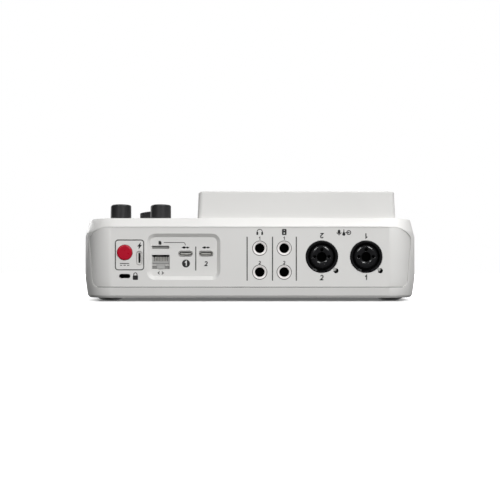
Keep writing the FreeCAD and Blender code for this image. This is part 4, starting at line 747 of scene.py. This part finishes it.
def screen_picture():
    """Four level meters and six tiles on the display."""
    centre = Matrix.Translation(middle("touchscreen_glass") * MM)
    plane = centre @ Matrix.Rotation(SCREEN_TILT, 4, "X") @ Matrix.Translation((0, 0, GLASS_HALF * MM))
    calm = display_color("display_green", (0.05, 0.42, 0.20))
    warm = display_color("display_amber", (0.70, 0.38, 0.05))
    pale = display_color("display_pale", (0.16, 0.18, 0.22))
    levels, steps, warm_from = (9, 12, 7, 10), 14, 10
    bar_width, bar_height, bar_pitch, bar_rise = 6.5, 2.2, 12, 3.4
    tile, across, down, columns = 19, 21, 22, 3
    low_parts, high_parts, frames = Print(plane), Print(plane), Print(plane)
    for strip, level in enumerate(levels):
        x = -50 + strip * bar_pitch
        for step in range(steps):
            drawing = frames if step >= level else high_parts if step >= warm_from else low_parts
            drawing.area(rounded(bar_width, bar_height, 0.3, x, -24 + step * bar_rise, 3))
    for index in range(6):
        row, column = divmod(index, columns)
        frames.area(rounded(tile, tile, 1.5, 12 + column * across, 13 - row * down, 6))
    frames.area(rounded(110, 2.4, 0.6, 0, 30, 4))
    low_parts.done("display_levels", calm)
    high_parts.done("display_peaks", warm)
    frames.done("display_tiles", pale)


# ---------------------------------------------------------------- floor, lights and camera

def area_light(name, place, aim, width, height, power):
    """Rectangular softbox pointed at aim."""
    data = bpy.data.lights.new(name, "AREA")
    data.shape = "RECTANGLE"
    data.size = width
    data.size_y = height
    data.energy = power
    light = bpy.data.objects.new(name, data)
    light.location = place
    light.rotation_euler = (Vector(aim) - Vector(place)).to_track_quat("-Z", "Y").to_euler()
    light.visible_camera = False
    bpy.context.collection.objects.link(light)
    return light


WHITE_LIGHT = (1, 1, 1, 1)
PANEL_AIM = (0, 0.12, 0.03)         # metres, the middle of the connector panel


def surroundings():
    """White studio: bright behind the console, dim on the connector side."""
    world = bpy.data.worlds.new("studio")
    bpy.context.scene.world = world
    world.use_nodes = True
    tree = world.node_tree
    place = node(tree, "TexCoord")
    split = node(tree, "SeparateXYZ")
    tree.links.new(place.outputs["Generated"], split.inputs[0])
    fade = remap(tree, split.outputs["Y"], 0.05, 0.9, start=-0.45, end=-0.95, kind="SMOOTHSTEP")
    fill = node(tree, "Background", Color=WHITE_LIGHT)
    tree.links.new(fade, fill.inputs["Strength"])
    backdrop = tree.nodes["Background"]
    backdrop.inputs["Color"].default_value = WHITE_LIGHT
    path = node(tree, "LightPath")
    mix = node(tree, "MixShader")
    tree.links.new(path.outputs["Is Camera Ray"], mix.inputs[0])
    tree.links.new(fill.outputs[0], mix.inputs[1])
    tree.links.new(backdrop.outputs[0], mix.inputs[2])
    tree.links.new(mix.outputs[0], tree.nodes["World Output"].inputs["Surface"])


def studio_floor():
    """White floor that takes the contact shadow and fades into the white surroundings; its glow is dimmed under
    and just round the console, a painted shadow added to the cast one.
    """
    half_width, half_depth, _ = cad_box[1]
    side_inset, rear_inset, side_pull = 0.014, 0.002, 2.5
    bm = bmesh.new()
    bmesh.ops.create_grid(bm, x_segments=4, y_segments=4, size=1)
    data = bpy.data.meshes.new("floor")
    bm.to_mesh(data)
    bm.free()
    floor = bpy.data.objects.new("floor", data)
    bpy.context.collection.objects.link(floor)
    paint, tree, shader = new_material("floor_paint")
    shader.inputs["Base Color"].default_value = (0.7, 0.7, 0.7, 1)
    shader.inputs["Roughness"].default_value = 0.9
    shader.inputs["Specular IOR Level"].default_value = 0.0
    shader.inputs["Emission Color"].default_value = WHITE_LIGHT
    place = node(tree, "TexCoord")
    mirrored = node(tree, "VectorMath", operation="ABSOLUTE")
    outside = node(tree, "VectorMath", operation="SUBTRACT")
    beyond = node(tree, "VectorMath", operation="MAXIMUM")
    steeper = node(tree, "VectorMath", operation="MULTIPLY")
    gap = node(tree, "VectorMath", operation="LENGTH")
    outside.inputs[1].default_value = (half_width - side_inset, half_depth - rear_inset, 0)
    steeper.inputs[1].default_value = (side_pull, 1, 1)
    tree.links.new(place.outputs["Object"], mirrored.inputs[0])
    tree.links.new(mirrored.outputs[0], outside.inputs[0])
    tree.links.new(outside.outputs[0], beyond.inputs[0])
    tree.links.new(beyond.outputs[0], steeper.inputs[0])
    tree.links.new(steeper.outputs[0], gap.inputs[0])
    # Painted shadow: the glow is low under and near the console and rises to full white further out, sooner across
    # the sides.
    painted_shadow_glow = remap(tree, gap.outputs["Value"], 0.10, 1.3, start=0.008, end=0.055)
    tree.links.new(painted_shadow_glow, shader.inputs["Emission Strength"])
    data.materials.append(paint)
    floor.visible_diffuse = False
    floor.visible_glossy = False


def softboxes():
    """Overhead box, frontal key, a rim from behind and two high strips that only glint."""
    area_light("overhead", (-0.3, 0.15, 0.75), (-0.02, 0.08, 0), 0.6, 0.5, 4)
    key = area_light("key", (-0.3, 1.75, 0.65), PANEL_AIM, 0.6, 0.5, 28)
    key.visible_glossy = False
    area_light("rim", (0.7, -1.0, 0.5), (0.05, 0.05, 0.03), 0.7, 0.6, 9)
    for side, label in ((1, "left"), (-1, "right")):
        sheen = area_light(f"sheen_{label}", (side * 0.45, 0.95, 0.75), PANEL_AIM, 0.2, 0.5, 5)
        sheen.visible_diffuse = False


def camera():
    """Level view of the connector panel, a metre behind it."""
    distance, height = 1.0, 0.0347
    data = bpy.data.cameras.new("camera")
    data.sensor_width = 36
    data.lens = 106.2
    data.clip_start = 0.01
    item = bpy.data.objects.new("camera", data)
    item.location = (0, PANEL_FACE * MM + distance, height)
    item.rotation_euler = (math.radians(90), 0, math.radians(180))
    bpy.context.collection.objects.link(item)
    bpy.context.scene.camera = item


power_marks()
recess_marks()
jack_marks()
input_marks()
network_inside()
port_rims()
seam_shade_strip()
combo_inside()
fader_marks()
key_signs()
screen_picture()
surroundings()
studio_floor()
softboxes()
camera()
bpy.context.scene.view_settings.view_transform = "Standard"
